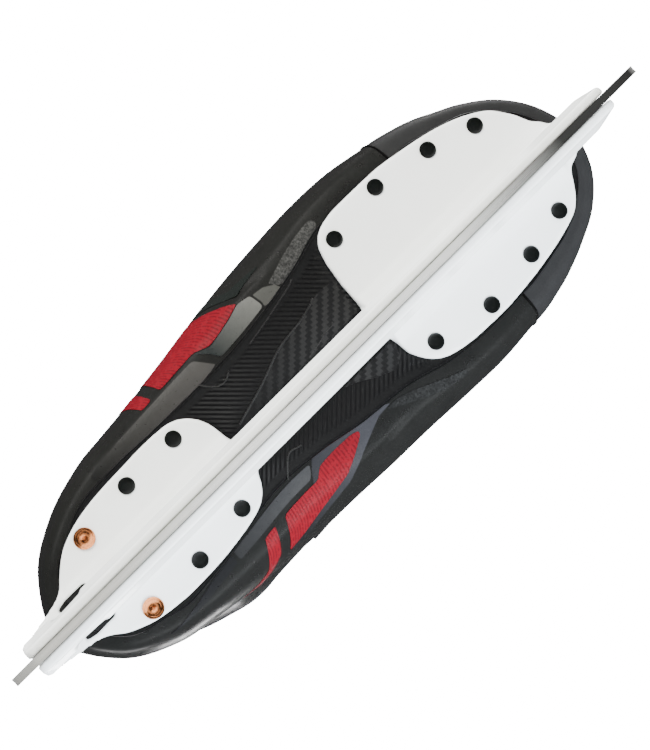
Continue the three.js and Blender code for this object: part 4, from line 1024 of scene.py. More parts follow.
def build_runner():
    low = spline(RUN_LOW, 6)
    flat = (low[:, 0] > -20) & (low[:, 0] < 20)
    low[flat, 1] = 0.0
    low[:, 1] = np.maximum(low[:, 1], 0)
    p = np.concatenate([low, np.array(RUN_TOP, float)])
    ys = [-1.5, -1.34, -0.8, 0, 0.8, 1.34, 1.5]
    n, m = len(p), len(ys)
    nl = len(low)
    t = np.zeros_like(p)
    t[:nl] = np.gradient(low, axis=0)
    nrm = unit(np.stack([-t[:, 1], t[:, 0]], -1))
    v = []
    for j, y in enumerate(ys):
        hollow = np.zeros(n)
        hollow[3 : nl - 4] = 0.11 * (1 - (abs(y) / 1.34) ** 2) if abs(y) < 1.4 else 0.14
        q = p + nrm * hollow[:, None]
        v += [(a, y, b) for a, b in q]
    f = [tuple(range(n)), tuple(reversed(range((m - 1) * n, m * n)))]
    for j in range(m - 1):
        for i in range(n):
            f.append((j * n + i, j * n + (i + 1) % n, (j + 1) * n + (i + 1) % n, (j + 1) * n + i))
    o = mesh_object("runner_steel", v, f, 28)
    return finish_piece(o, "steel", MAT["steel"], ["runner"])


def build_rivets():
    black = [(0, -1.05), (1.2, -1.08), (2.2, -1.0), (2.9, -0.72), (3.25, -0.3), (3.3, 0.12), (2.0, 0.15), (2.0, 14.5), (0, 14.5)]
    copper = [(0, -1.55), (0.5, -1.6), (0.9, -1.95), (1.35, -2.28), (2.0, -2.32), (2.7, -2.05), (3.05, -1.7), (3.15, -1.45), (3.7, -1.25), (4.05, -0.85), (4.12, -0.3), (4.05, 0.12), (2.0, 0.15), (2.0, 14.5), (0, 14.5)]

    def profile(p, zp, x):
        top = float(sole_z(x)) + 3 + 2.6 - zp
        return [(r, zp + (h if h < 14 else top)) for r, h in p]

    for i, (x, y) in enumerate(RIVETS_FRONT):
        o = lathe(f"rivet_front_{i + 1}_fine", profile(black, 50.0, x), 36)
        o.data.transform(Matrix.Translation((x * 0.001, y * 0.001, 0)))
        finish_piece(o, "boot", MAT["black_rivet"], [f"rivet_front_{i + 1}"])
    for i, (x, y) in enumerate(RIVETS_REAR):
        o = lathe(f"rivet_rear_{i + 1}_fine", profile(black, 60.0, x), 36)
        o.data.transform(Matrix.Translation((x * 0.001, y * 0.001, 0)))
        finish_piece(o, "boot", MAT["black_rivet"], [f"rivet_rear_{i + 1}"])
    for i, (x, y) in enumerate(RIVETS_HEEL):
        o = lathe(f"rivet_copper_{i + 1}_fine", profile(copper, 60.0, x), 44)
        o.data.transform(Matrix.Translation((x * 0.001, y * 0.001, 0)))
        finish_piece(o, "boot", MAT["copper"], [f"rivet_copper_{i + 1}"])


# ------------------------------------------------------------------ outsole
X0, X1 = float(EDGE[0][0, 0]), float(EDGE[0][-1, 0])


def ribs(x, y, d):
    """How far the moulded ribs stand out under the sole. d is the distance to the side edge."""
    k = np.where(y < 0, x - y, x + y) / math.sqrt(2) / RIB_PITCH
    f = np.abs(((k % 1) - 0.5) * 2)
    f = smooth((f - 0.25) / 0.5)
    zone = smooth((d - RIB_EDGE) / 0.5) * smooth((np.abs(y) - 3) / 2) * smooth((x + 140) / 4)
    return 0.42 * f * zone, zone


RIB_PITCH, RIB_EDGE = 1.75, 4.2


def build_outsole():
    fine = np.arange(-52, 40, 0.45)
    heel = X0 + 46 * (1 - np.cos(np.linspace(0, math.pi / 2, 40)))
    toe_x = X1 - 62 * (1 - np.cos(np.linspace(0, math.pi / 2, 46)))
    mid = np.concatenate([np.arange(heel.max(), -52, 1.2), np.arange(40, toe_x.min(), 1.2)])
    xs = np.unique(np.round(np.concatenate([heel, mid, fine, toe_x]), 3))
    xs = xs[np.concatenate([[True], np.diff(xs) > 0.05])]
    xs[-1] = X1
    t = np.concatenate([[0, 0.003, 0.008, 0.016, 0.026], np.linspace(0.036, 0.964, 118), [0.974, 0.984, 0.992, 0.997, 1]])
    l, r = -np.maximum(0.6, half_width(0, xs)), np.maximum(0.6, half_width(1, xs))
    y = l[:, None] + (r - l)[:, None] * t[None]
    x = np.repeat(xs[:, None], len(t), 1)
    d = np.minimum(y - l[:, None], r[:, None] - y)
    d = np.minimum(d, np.minimum(x - X0, X1 - x) * 1.0 + 0)
    rnd = 1.3
    lift = np.where(d < rnd, rnd - np.sqrt(np.maximum(0, rnd**2 - (rnd - np.clip(d, 0, rnd)) ** 2)), 0)
    h, zone = ribs(x, y, d)
    keep = smooth((x + 52) / 3) * smooth((38 - x) / 3)
    z = sole_z(x) + lift - h * keep + 0.42 * zone * keep * 0.5
    low = np.stack([x, y, z], -1)
    top = np.stack([x, y, sole_z(x) + 3.0 + 0 * x], -1)
    o = grid_solid("outsole_fine", low, top, 50)
    holes = join("c8", [rod("h", 2.3, (a, b, 45), (a, b, 80), 16) for a, b in RIVETS_FRONT + RIVETS_REAR + RIVETS_HEEL])
    cutout(o, holes)
    shade(o, 50)
    return finish_piece(o, "boot", MAT["sole"], ["outsole"])


def bead(name, xy, r=0.45, off=0.05):
    """A thin raised line on the underside of the outsole."""
    p = spline(xy, 10)
    pts = on_sole(p[:, 0], p[:, 1], off)
    return sweep(name, pts, circle(r, 8), smooth=60)


def build_sole_details():
    lat = [(24.0, -23.2), (22.6, -15.0), (22.4, -8.4), (8, -8.2), (-40, -8.2), (-41, -9.0), (-22.6, -13.9), (-8.7, -18.9), (3.9, -20.6), (11, -22.4), (16, -24.2)]
    med = [(22.4, 8.6), (22.2, 14.8), (17.2, 17.6), (9.0, 14.0), (4, 10.8), (-2, 8.4)]
    for name, poly in (("sole_weave_outer", lat), ("sole_weave_inner", med)):
        o = patch(name, poly, on_sole, 0.27, -0.3, (1, 1), 1.6, 1.5)
        finish_piece(o, "boot", MAT["twill"])
    lines = [
        bead("l1", [(13.5, -24), (11, -22.7), (3.9, -20.9), (-8.7, -19.2), (-22.6, -14.2), (-39, -9.4)], 0.42),
        bead("l2", [(12.4, -12.4), (11.9, -11.3), (8.9, -11.2), (2.6, -9.9), (-3.1, -8.8)], 0.32),
        bead("l3", [(-28, 12.6), (-29.4, 12.2), (-32.9, 11.4), (-36.1, 13.5), (-40.8, 18.4)], 0.35),
        bead("l4", [(-39.4, -30.9), (-37.1, -27.9), (-34.2, -25.4), (-30.9, -25.1), (-27.7, -26.8)], 0.35),
        bead("l5", [(13, -34.6), (9.4, -33.2), (-3.5, -30.4), (-15, -28.4)], 0.28),
    ]
    o = join("sole_moulded_lines", lines, 60)
    finish_piece(o, "boot", MAT["line"])
    # the rounded rim between the sole and the upper
    rims = []
    for s in (0, 1):
        xs = np.linspace(-94, 73.6, 110)
        y = (half_width(s, xs) - 1.1) * (1 if s else -1)
        pts = np.stack([xs, y, sole_z(xs) + 3.35], -1)
        rims.append(sweep(f"rim{s}", pts, circle(0.62, 10), smooth=60))
    finish_piece(join("sole_rim", rims, 60), "boot", MAT["edge_film"])


# ------------------------------------------------------------------ upper
def eye_u(s, i):
    x = lerp(66.5, -39.5, i / 10)
    u = (74 - x) / 19.83
    return 24 - u if s else u


def eye_v(u):
    return 1 - 0.2 * 7.6 / float(np.linalg.norm(shell_point(u, 1.0) - shell_point(u, 0.8)))


def eye_frame(s, i):
    u = eye_u(s, i)
    v = eye_v(u)
    return shell_point(u, v), shell_normal(u, v)


def eye_cutters(s, r):
    rods = []
    for i in range(11):
        p, n = eye_frame(s, i)
        rods.append(rod("e", r, p - n * 9, p + n * 9, 20))
    return join("eyes", rods)


def rounded_offsets(vs, off_out, off_in, edge=1.2, at_low=False):
    """Offsets that round the top edge of a layer."""
    t = np.clip((1 - vs) / 0.035, 0, 1)
    k = 1 - np.sqrt(np.maximum(0, 1 - (1 - t) ** 2))
    mid = (off_out + off_in) / 2
    return off_out + (mid - off_out) * k * 0.8, off_in + (mid - off_in) * k * 0.8


def build_quarters():
    for s, name, cad in ((0, "quarter_outer_shell", "quarter_lateral"), (1, "quarter_inner_shell", "quarter_medial")):
        us = np.concatenate([np.linspace(0, 11.992, 150)])
        vs = np.concatenate([np.linspace(0, 0.94, 72), np.linspace(0.945, 1, 14)])
        u, v = np.meshgrid(us, vs, indexing="ij")
        if s:
            u = 24 - u
            u, v = u[::-1], v[::-1] if False else v
        # folded ridges of the moulded side, strongest at mid height
        w = np.minimum(u, 24 - u)
        o1 = ridge(w, v)
        oo, oi = rounded_offsets(v, 0.0 * v, -3.0 + 0 * v)
        o = grid_solid(name, shell(u, v, oo + o1), shell(u, v, oi), 45)
        cutout(o, eye_cutters(s, 3.2))
        shade(o, 45)
        finish_piece(o, "boot", MAT["quarter"], [cad])


def ridge(w, v):
    """A shallow crease line that climbs from the arch to the heel counter."""
    line = 0.17 + 0.045 * (w - 4.0)
    d = (v - line) * 100
    a = -0.35 * np.exp(-((d / 1.1) ** 2)) * smooth((w - 3.0) / 0.6) * smooth((7.2 - w) / 0.8)
    counter = 0.0
    return a + counter


def build_toe():
    av = np.linspace(0, 180, 110)
    vv = np.concatenate([np.linspace(0, 0.97, 64), [0.98, 0.99, 1.0]])
    a, v = np.meshgrid(av, vv, indexing="ij")
    # a shallow step where the bumper ends above the sole, and a crease over the toe
    o = toe(a, v, 0.0 * a - 0.28 * np.exp(-(((v - 0.47) / 0.012) ** 2)) - 0.2 * np.exp(-(((v - 0.08) / 0.012) ** 2)))
    i = toe(a, v, 0.0 * a - 3.0)
    p = grid_solid("toe_cap_fine", o, i, 40)
    return finish_piece(p, "boot", MAT["cap"], ["toe_cap"])


def build_toe_seam():
    """The dark joint line between the toe cap and the quarters."""
    parts = []
    for s in (0, 1):
        v = np.linspace(0.01, 0.985, 70)
        u = np.full_like(v, 24 - 0.012 if s else 0.012)
        parts.append(sweep(f"seam{s}", shell(u, v, 0.0 * v + 0.02), circle(0.5, 8), smooth=60))
    finish_piece(join("toe_seam_cord", parts, 60), "boot", MAT["seam"])


def on_toe(a, v, off):
    a = np.asarray(a, float)
    return toe(a, v, np.zeros_like(a) + off)


def graphics():
    side0, side1 = on_side(0), on_side(1)
    g = []

    def add(name, s, poly, mat, t=0.22, r=1.5):
        o = patch(name, poly, side1 if s else side0, t, -0.15, radius=r)
        finish_piece(o, "boot", MAT[mat])
        g.append(o)

    add("gray_band_outer", 0, [(8.86, 0.112), (8.3, 0.128), (7.7, 0.137), (7.0, 0.142), (6.29, 0.142), (5.9, 0.139), (5.48, 0.134), (5.34, 0.09), (5.20, 0.046), (5.35, 0.041), (5.9, 0.034), (6.68, 0.026), (7.6, 0.018), (8.4, 0.020), (8.8, 0.04)], "gray_band")
    add("gray_front_outer", 0, [(5.36, 0.146), (5.16, 0.10), (5.02, 0.050), (4.4, 0.047), (3.82, 0.046), (3.80, 0.062), (3.84, 0.118), (4.11, 0.138), (4.43, 0.124), (5.04, 0.112)], "gray_lateral")
    add("gray_tip_outer", 0, [(3.79, 0.110), (3.76, 0.062), (3.78, 0.040), (3.55, 0.026), (3.30, 0.024), (3.36, 0.062), (3.56, 0.096)], "gray_tip", 0.22, 0.8)
    add("red_slash_outer", 0, [(6.54, 0.162), (6.80, 0.160), (6.95, 0.24), (7.10, 0.312), (7.26, 0.40), (7.42, 0.49), (7.72, 0.61), (8.02, 0.70), (7.50, 0.62), (7.04, 0.50), (6.86, 0.41), (6.70, 0.316), (6.62, 0.24)], "red")
    add("red_panel_outer", 0, [(6.45, 0.334), (6.38, 0.25), (6.29, 0.162), (5.85, 0.160), (5.38, 0.158), (5.04, 0.118), (4.75, 0.120), (4.43, 0.128), (4.11, 0.142), (4.30, 0.18), (4.51, 0.224), (4.8, 0.295), (5.12, 0.372), (5.45, 0.44), (5.85, 0.525), (6.45, 0.63), (6.98, 0.71), (6.80, 0.60), (6.62, 0.49), (6.54, 0.42)], "red", 0.3)
    add("dark_fold_outer", 0, [(3.30, 0.176), (3.86, 0.172), (4.00, 0.165), (4.24, 0.205), (4.62, 0.30), (5.0, 0.40), (5.5, 0.50), (5.25, 0.51), (4.75, 0.42), (4.33, 0.30), (4.05, 0.225), (3.6, 0.20)], "edge_film")
    add("speckled_strip_outer", 0, [(2.02, 0.106), (1.96, 0.075), (2.00, 0.050), (2.64, 0.040), (3.22, 0.026), (3.34, 0.055), (3.44, 0.086), (2.85, 0.108), (2.41, 0.112)], "speckle")
    add("gray_band_inner", 1, [(7.62, 0.044), (6.8, 0.045), (6.1, 0.046), (5.28, 0.040), (5.36, 0.066), (5.47, 0.088), (6.1, 0.092), (6.8, 0.094), (7.62, 0.092)], "gray_strip")
    add("gray_tail_inner", 1, [(7.72, 0.045), (7.72, 0.09), (8.5, 0.10), (9.3, 0.125), (10.1, 0.160), (9.4, 0.100), (8.6, 0.055)], "gray_medial")
    add("gray_panel_inner", 1, [(3.38, 0.046), (3.56, 0.028), (3.74, 0.016), (4.38, 0.008), (5.03, 0.006), (5.20, 0.035), (5.34, 0.066), (5.44, 0.094), (5.55, 0.125), (6.0, 0.16), (6.45, 0.21), (6.70, 0.292), (6.26, 0.276), (5.75, 0.248), (5.31, 0.226), (4.95, 0.206), (4.6, 0.162), (4.29, 0.120), (3.98, 0.084), (3.72, 0.056)], "gray_medial", 0.18, 1.0)
    add("red_slash_inner", 1, [(6.86, 0.114), (6.7, 0.112), (6.55, 0.112), (6.69, 0.172), (6.84, 0.232), (7.2, 0.29), (7.60, 0.345), (8.0, 0.45), (8.6, 0.46), (8.4, 0.42), (8.15, 0.384), (7.7, 0.32), (7.30, 0.268), (7.08, 0.19)], "red")
    add("red_panel_inner", 1, [(6.29, 0.114), (5.8, 0.110), (5.37, 0.106), (5.16, 0.070), (4.7, 0.055), (4.34, 0.045), (4.17, 0.050), (4.22, 0.070), (4.54, 0.120), (4.89, 0.166), (5.31, 0.190), (5.75, 0.214), (6.26, 0.246), (6.66, 0.264), (6.45, 0.18)], "red", 0.3)
    add("speckled_strip_inner", 1, [(3.30, 0.050), (3.52, 0.056), (3.28, 0.084), (2.84, 0.124), (2.45, 0.152), (1.90, 0.160), (1.88, 0.128), (2.40, 0.094), (2.88, 0.066)], "speckle_dim")
    return g


def stitches(name, points, normals, body="boot", length=2.1, pitch=3.0, r=0.28, lift=0.12):
    """A row of stitches along a line."""
    p, n = np.asarray(points, float), np.asarray(normals, float)
    seg = np.linalg.norm(np.diff(p, axis=0), axis=1)
    t = np.concatenate([[0], np.cumsum(seg)])
    count = int(t[-1] / pitch)
    v, f = [], []
    ring = 6
    prof = [(-0.5, 0.25), (-0.36, 0.85), (0, 1.0), (0.36, 0.85), (0.5, 0.25)]
    for k in range(count):
        c = (k + 0.5) * pitch
        pos = np.array([np.interp(c, t, p[:, i]) for i in range(3)])
        ahead = np.array([np.interp(c + 0.5, t, p[:, i]) for i in range(3)])
        nr = unit(np.array([np.interp(c, t, n[:, i]) for i in range(3)]))
        d = unit(ahead - pos)
        side = np.cross(d, nr)
        base = len(v)
        for a, q in prof:
            for j in range(ring):
                w = 2 * math.pi * j / ring
                v.append(pos + d * a * length + side * (q * r * math.cos(w)) + nr * (lift + q * r * math.sin(w) - 0.1 * abs(a)))
        for i in range(len(prof) - 1):
            for j in range(ring):
                f.append((base + i * ring + j, base + i * ring + (j + 1) % ring, base + (i + 1) * ring + (j + 1) % ring, base + (i + 1) * ring + j))
        f.append(tuple(base + j for j in range(ring)))
        f.append(tuple(base + (len(prof) - 1) * ring + j for j in reversed(range(ring))))
    o = mesh_object(name, v, f, 60)
    return finish_piece(o, body, MAT["thread"])


def build_facings():
    for s, side, cad in ((0, "outer", "eyestay_lateral"), (1, "inner", "eyestay_medial")):
        us = np.linspace(0.02, 5.98, 110)
        vs = np.concatenate([[0.8, 0.8015, 0.804, 0.808], np.linspace(0.815, 0.978, 18), [0.985, 0.991, 0.996, 1.0]])
        u, v = np.meshgrid(us, vs, indexing="ij")
        edge_v = np.minimum((v - 0.8) / 0.008, (1 - v) / 0.022)
        k = np.sqrt(np.clip(1 - (1 - np.clip(edge_v, 0, 1)) ** 2, 0, 1))
        out = 0.9 + 0.7 * k
        # piping under the row of stitches
        out = out - 0.18 * np.exp(-(((v - 0.825) / 0.006) ** 2)) - 0.18 * np.exp(-(((v - 0.972) / 0.005) ** 2))
        uu = 24 - u if s else u
        o = grid_solid(f"facing_{side}", shell(uu, v, out), shell(uu, v, 0.3 + 0 * u), 50)
        cutout(o, eye_cutters(s, 3.2))
        shade(o, 50)
        finish_piece(o, "boot", MAT["facing"], [cad])
        line = np.linspace(0.1, 5.9, 240)
        for row, vv in enumerate((0.825, 0.972)):
            ul = 24 - line if s else line
            stitches(f"facing_stitches_{side}_{row + 1}", shell(ul, vv + 0 * line, 1.42 + 0 * line), shell_normal(ul, vv + 0 * line))
        # a folded tape binds the edge of the throat
        ul = np.linspace(0.06, 6.15, 150)
        ue = 24 - ul if s else ul
        mid = shell(ue, 1 + 0 * ul, -1.2 + 0 * ul) + np.array([0, 0, 0.3])
        up_dir = unit(shell_point(ue, 1 + 0 * ul) - shell_point(ue, 0.98 + 0 * ul))
        nrm = shell_normal(ue, 1 + 0 * ul)
        sec = [(2.0 * math.cos(a), 1.0 * math.sin(a)) for a in np.linspace(0, 2 * math.pi, 16, endpoint=False)]
        pts = mid + up_dir * 0.75
        o = sweep(f"throat_binding_{side}", pts, [(b * 1.0, a * 1.05) for a, b in sec], normals=nrm, smooth=60)
        finish_piece(o, "boot", MAT["binding"])


def build_eyelets():
    prof = [(2.25, -2.75), (2.75, -2.8), (2.8, 2.0), (3.3, 2.15), (4.15, 2.2), (4.32, 2.35), (4.2, 2.62), (3.7, 2.86), (3.1, 2.9), (2.6, 2.75), (2.3, 2.35), (2.25, 1.2), (2.25, -2.75)]
    for s, side in ((0, "lateral"), (1, "medial")):
        for i in range(11):
            p, n = eye_frame(s, i)
            v, f = [], []
            o = lathe(f"eyelet_{side}_{i + 1}_fine", prof, 28)
            place(o, n, p)
            finish_piece(o, "boot", MAT["black_rivet"], [f"eyelet_{side}_{i + 1}"])


def tongue_front(u, b):
    u, b = np.broadcast_arrays(np.asarray(u, float), np.asarray(b, float))
    v = 0.91 + 0 * u
    off = -8.2 + 0 * u
    L, R = shell(u, v, off), shell(24 - u, v, off)
    t = ((b + 1) / 2)[..., None]
    bulge = lerp(4.0, 15.0, smooth(u / 6)) * (1 - b * b)
    return lerp(L, R, t) + bulge[..., None] * np.array([0.72, 0, 0.69]) * np.array([1, 0, 1])


def tongue_surface(k, b):
    """k below 6 is the station along the throat; above 6 it climbs to the top edge at 7."""
    k, b = np.broadcast_arrays(np.asarray(k, float), np.asarray(b, float))
    low = tongue_front(np.minimum(k, 6.0), b)
    q = np.clip(k - 6, 0, 1)
    w = lerp(1, 0.84, q)
    up_ = np.stack([low[..., 0] + q + 5 * q * q, 4 + (low[..., 1] - 4) * w, low[..., 2] + 43 * q * (1 - 0.12 * b * b * q)], -1)
    return np.where((k > 6)[..., None], up_, low)


def surface_normal(fn, a, b, da=0.02, db=0.02):
    a, b = np.broadcast_arrays(np.asarray(a, float), np.asarray(b, float))
    n = np.cross(fn(a + da, b) - fn(a - da, b), fn(a, b + db) - fn(a, b - db))
    n = unit(n)
    return np.where((n[..., 0] < 0)[..., None], -n, n)


def build_tongue():
    ks = np.concatenate([np.linspace(0.35, 6, 70), np.linspace(6.03, 7, 34)])
    bs = np.linspace(-1, 1, 57)
    k, b = np.meshgrid(ks, bs, indexing="ij")
    n = surface_normal(tongue_surface, np.clip(k, 0.4, 6.97), b)
    # smooth the direction of the pad over the fold
    for _ in range(6):
        n[1:-1] = unit(n[:-2] + 2 * n[1:-1] + n[2:])
    p = tongue_surface(k, b)
    edge = np.clip((1 - np.abs(b)) / 0.16, 0, 1)
    e = np.sqrt(np.clip(1 - (1 - edge) ** 2, 0, 1))
    top = np.clip((7 - k) / 0.13, 0, 1)
    e = e * np.sqrt(np.clip(1 - (1 - top) ** 2, 0, 1))
    tail = np.clip((k - 0.35) / 0.4, 0.15, 1)
    full = 7.5 * (0.28 + 0.72 * e) * tail
    # quilted channels across the felt
    quilt = 0.55 * np.abs(np.sin(np.pi * (k * 1.9))) ** 0.6 * e
    out = -0.9 * (1 - e) + 0.35 * (np.abs(np.sin(np.pi * (k * 1.9))) ** 0.5 - 0.7) * e * (k > 5.7)
    front, back = p + n * out[..., None] - n * (0.45 * (1 - e))[..., None], p - n * (full + quilt - 0.4)[..., None]
    o = grid_solid("tongue_felt", front, back, 75)
    puff(o, 0.35, 0.0011)
    o.data.materials.append(MAT["felt"])
    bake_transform(o)
    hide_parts("tongue_lower", "tongue_upper")
    # bound edge of the tongue
    loop = np.concatenate([np.stack([np.linspace(0.9, 6.93, 90), -0.985 + 0 * np.linspace(0, 1, 90)], -1),
                           np.stack([7 - 0.035 + 0 * np.linspace(0, 1, 40), np.linspace(-0.95, 0.95, 40)], -1),
                           np.stack([np.linspace(6.93, 0.9, 90), 0.985 + 0 * np.linspace(0, 1, 90)], -1)])
    q = tongue_surface(loop[:, 0], loop[:, 1]) - surface_normal(tongue_surface, np.clip(loop[:, 0], 0.5, 6.9), np.clip(loop[:, 1], -0.97, 0.97)) * 1.7
    for _ in range(5):
        q[1:-1] = (q[:-2] + 2 * q[1:-1] + q[2:]) / 4
    o = sweep("tongue_binding", q, circle(1.5, 14), smooth=70)
    o.data.materials.append(MAT["binding"])
    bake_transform(o)


def puff(o, amount_mm, scale, seed=3):
    """Uneven fullness of a soft piece."""
    from mathutils import noise

    me = o.data
    co = np.empty(len(me.vertices) * 3, np.float32)
    no = np.empty(len(me.vertices) * 3, np.float32)
    me.vertices.foreach_get("co", co)
    me.vertices.foreach_get("normal", no)
    co, no = co.reshape(-1, 3), no.reshape(-1, 3)
    d = np.array([noise.noise(Vector(c) / (scale * 14) + Vector((seed, 0, 0))) + 0.4 * noise.noise(Vector(c) / (scale * 5)) for c in co.tolist()])
    co = co + no * (d * amount_mm * 0.001)[:, None]
    me.vertices.foreach_set("co", co.ravel().astype(np.float32))
    me.update()


def plump(o, held, cap_mm, pressure=4.0, big=10.0, frames=20):
    """Fills a sewn pad by cloth pressure. held is 1 where it is sewn or glued down and 0 where it is free."""
    scene = bpy.context.scene
    me = o.data
    n = len(me.vertices)
    co = np.empty(n * 3, np.float32)
    me.vertices.foreach_get("co", co)
    co = co.reshape(-1, 3).astype(float)
    work = me.copy()
    work.vertices.foreach_set("co", (co * big).ravel().astype(np.float32))
    work.update()
    t = bpy.data.objects.new("pad_filling", work)
    scene.collection.objects.link(t)
    g = t.vertex_groups.new(name="held")
    held = np.round(np.clip(np.asarray(held, float), 0, 1), 1)
    for w in np.unique(held):
        if w > 0:
            g.add(np.nonzero(held == w)[0].tolist(), float(w), "REPLACE")
    m = t.modifiers.new("filling", "CLOTH")
    c = m.settings
    c.quality = 5
    c.mass = 0.2
    c.tension_stiffness = c.compression_stiffness = 12.0
    c.shear_stiffness = 4.0
    c.bending_stiffness = 0.3
    c.use_pressure = True
    c.uniform_pressure_force = pressure
    c.effector_weights.gravity = 0.0
    c.vertex_group_mass = "held"
    m.point_cache.frame_start, m.point_cache.frame_end = 1, frames
    start = scene.frame_current
    for f in range(1, frames + 1):
        scene.frame_set(f)
    got = t.evaluated_get(bpy.context.evaluated_depsgraph_get())
    out = np.empty(n * 3, np.float32)
    got.data.vertices.foreach_get("co", out)
    out = out.reshape(-1, 3).astype(float) / big
    scene.frame_set(start)
    bpy.data.objects.remove(t)
    bpy.data.meshes.remove(work)
    d = out - co
    far = np.linalg.norm(d, axis=1)
    if not np.isfinite(far).all():
        return
    d *= np.minimum(1.0, cap_mm * 0.001 / np.maximum(far, 1e-9))[:, None]
    me.vertices.foreach_set("co", (co + d).ravel().astype(np.float32))
    me.update()


def build_tongue_plate():
    ks, bs = np.linspace(1.2, 5.6, 60), np.linspace(-0.5, 0.5, 30)
    k, b = np.meshgrid(ks, bs, indexing="ij")
    e = np.clip(np.minimum(np.minimum((k - 1.2) / 0.12, (5.6 - k) / 0.12), (0.5 - np.abs(b)) / 0.045), 0, 1)
    e = np.sqrt(1 - (1 - e) ** 2)
    d = np.array([0.72, 0, 0.69])
    p = tongue_front(k, b)
    groove = 0.35 * np.exp(-(((np.abs(b) - 0.27) / 0.018) ** 2))
    o = grid_solid("tongue_guard_plate", p + d * (0.55 + 0.95 * e - groove)[..., None], p + d * (0.3 + 0 * k)[..., None], 50)
    finish_piece(o, "boot", MAT["cap"], ["tongue_plate"])


def guard_point(a, t, off):
    a, t, off = np.broadcast_arrays(np.asarray(a, float), np.asarray(t, float), np.asarray(off, float))
    z0 = TOPLINE + 1.7
    z = lerp(z0, 266 - 26 * np.abs(a) ** 2.2, t)
    h = (z - z0) / (266 - z0)
    r = 38.8 + a * a + off + 1.2 * h
    q = np.radians(a * lerp(52, 38, h))
    return np.stack([HEEL_C - r * np.cos(q) - 10 * h * h, r * np.sin(q), z], -1)


def build_guard():
    aa, tt = np.linspace(-1, 1, 70), np.linspace(0, 1, 60)
    a, t = np.meshgrid(aa, tt, indexing="ij")
    e = np.clip(np.minimum(np.minimum(t / 0.03, (1 - t) / 0.05), (1 - np.abs(a)) / 0.07), 0, 1)
    e = np.sqrt(1 - (1 - e) ** 2)
    rib = 0.55 * np.exp(-(((np.abs(a) - 0.42 + 0.16 * t) / 0.05) ** 2)) * smooth((0.9 - t) / 0.15)
    groove = 0.4 * sum(np.exp(-(((t - c) / 0.012) ** 2)) for c in (0.16, 0.27, 0.38)) * smooth((0.36 - np.abs(a)) / 0.06)
    k = 1 - 0.35 * t
    o = grid_solid("tendon_guard_fine", guard_point(a, t, (2.3 * (0.45 + 0.55 * e) + rib - groove) * k), guard_point(a, t, -0.8 * k), 50)
    o.data.materials.append(MAT["cap"])
    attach(o, "tendon_guard")
    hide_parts("tendon_guard")
    # cushion inside the guard
    aa, tt = np.linspace(-0.8, 0.8, 50), np.linspace(0.06, 0.86, 44)
    a, t = np.meshgrid(aa, tt, indexing="ij")
    e = np.clip(np.minimum(np.minimum((t - 0.06) / 0.09, (0.86 - t) / 0.09), (0.8 - np.abs(a)) / 0.13), 0, 1)
    e = np.sqrt(np.clip(1 - (1 - e) ** 2, 0, 1))
    quilt = 0.5 * (np.abs(np.sin(np.pi * (t * 6.0))) ** 0.5 - 0.6) * e
    o = grid_solid("tendon_cushion", guard_point(a, t, -1.2), guard_point(a, t, -1.5 - 3.3 * e - quilt), 75)
    puff(o, 0.25, 0.0011)
    seam = np.exp(-((np.sin(np.pi * t * 6.0) / 0.16) ** 2)) * smooth((0.62 - np.abs(a)) / 0.1)
    held = np.concatenate([np.ones(a.size), np.maximum(seam, np.clip(1 - e * 1.3, 0, 1)).ravel()])
    plump(o, held, 0.9, 12.0)
    finish_piece(o, "tendon_guard", MAT["foam"], ["tendon_pad"])
    # base plate stitched on the heel
    us, vs = np.linspace(10.2, 13.8, 70), np.linspace(0.66, 0.945, 50)
    u, v = np.meshgrid(us, vs, indexing="ij")
    e = np.clip(np.minimum(np.minimum((v - 0.66) / 0.018, (0.945 - v) / 0.018), np.minimum(u - 10.2, 13.8 - u) / 0.09), 0, 1)
    e = np.sqrt(1 - (1 - e) ** 2)
    groove = 0.35 * np.exp(-(((v - 0.86) / 0.005) ** 2)) + 0.35 * np.exp(-(((v - 0.885) / 0.005) ** 2))
    o = grid_solid("tendon_guard_base_fine", shell(u, v, 0.9 + 1.4 * e - groove), shell(u, v, 0.3 + 0 * u), 50)
    finish_piece(o, "boot", MAT["quarter"], ["tendon_guard_base"])
    ring = np.concatenate([np.stack([np.linspace(10.36, 13.64, 80), 0.683 + 0 * np.linspace(0, 1, 80)], -1), np.stack([13.64 + 0 * np.linspace(0, 1, 30), np.linspace(0.683, 0.925, 30)], -1)])
    ring2 = np.stack([10.36 + 0 * np.linspace(0, 1, 30), np.linspace(0.925, 0.683, 30)], -1)
    ring = np.concatenate([ring2, ring])
    stitches("guard_base_stitches", shell(ring[:, 0], ring[:, 1], 2.3 + 0 * ring[:, 0]), shell_normal(ring[:, 0], ring[:, 1]))


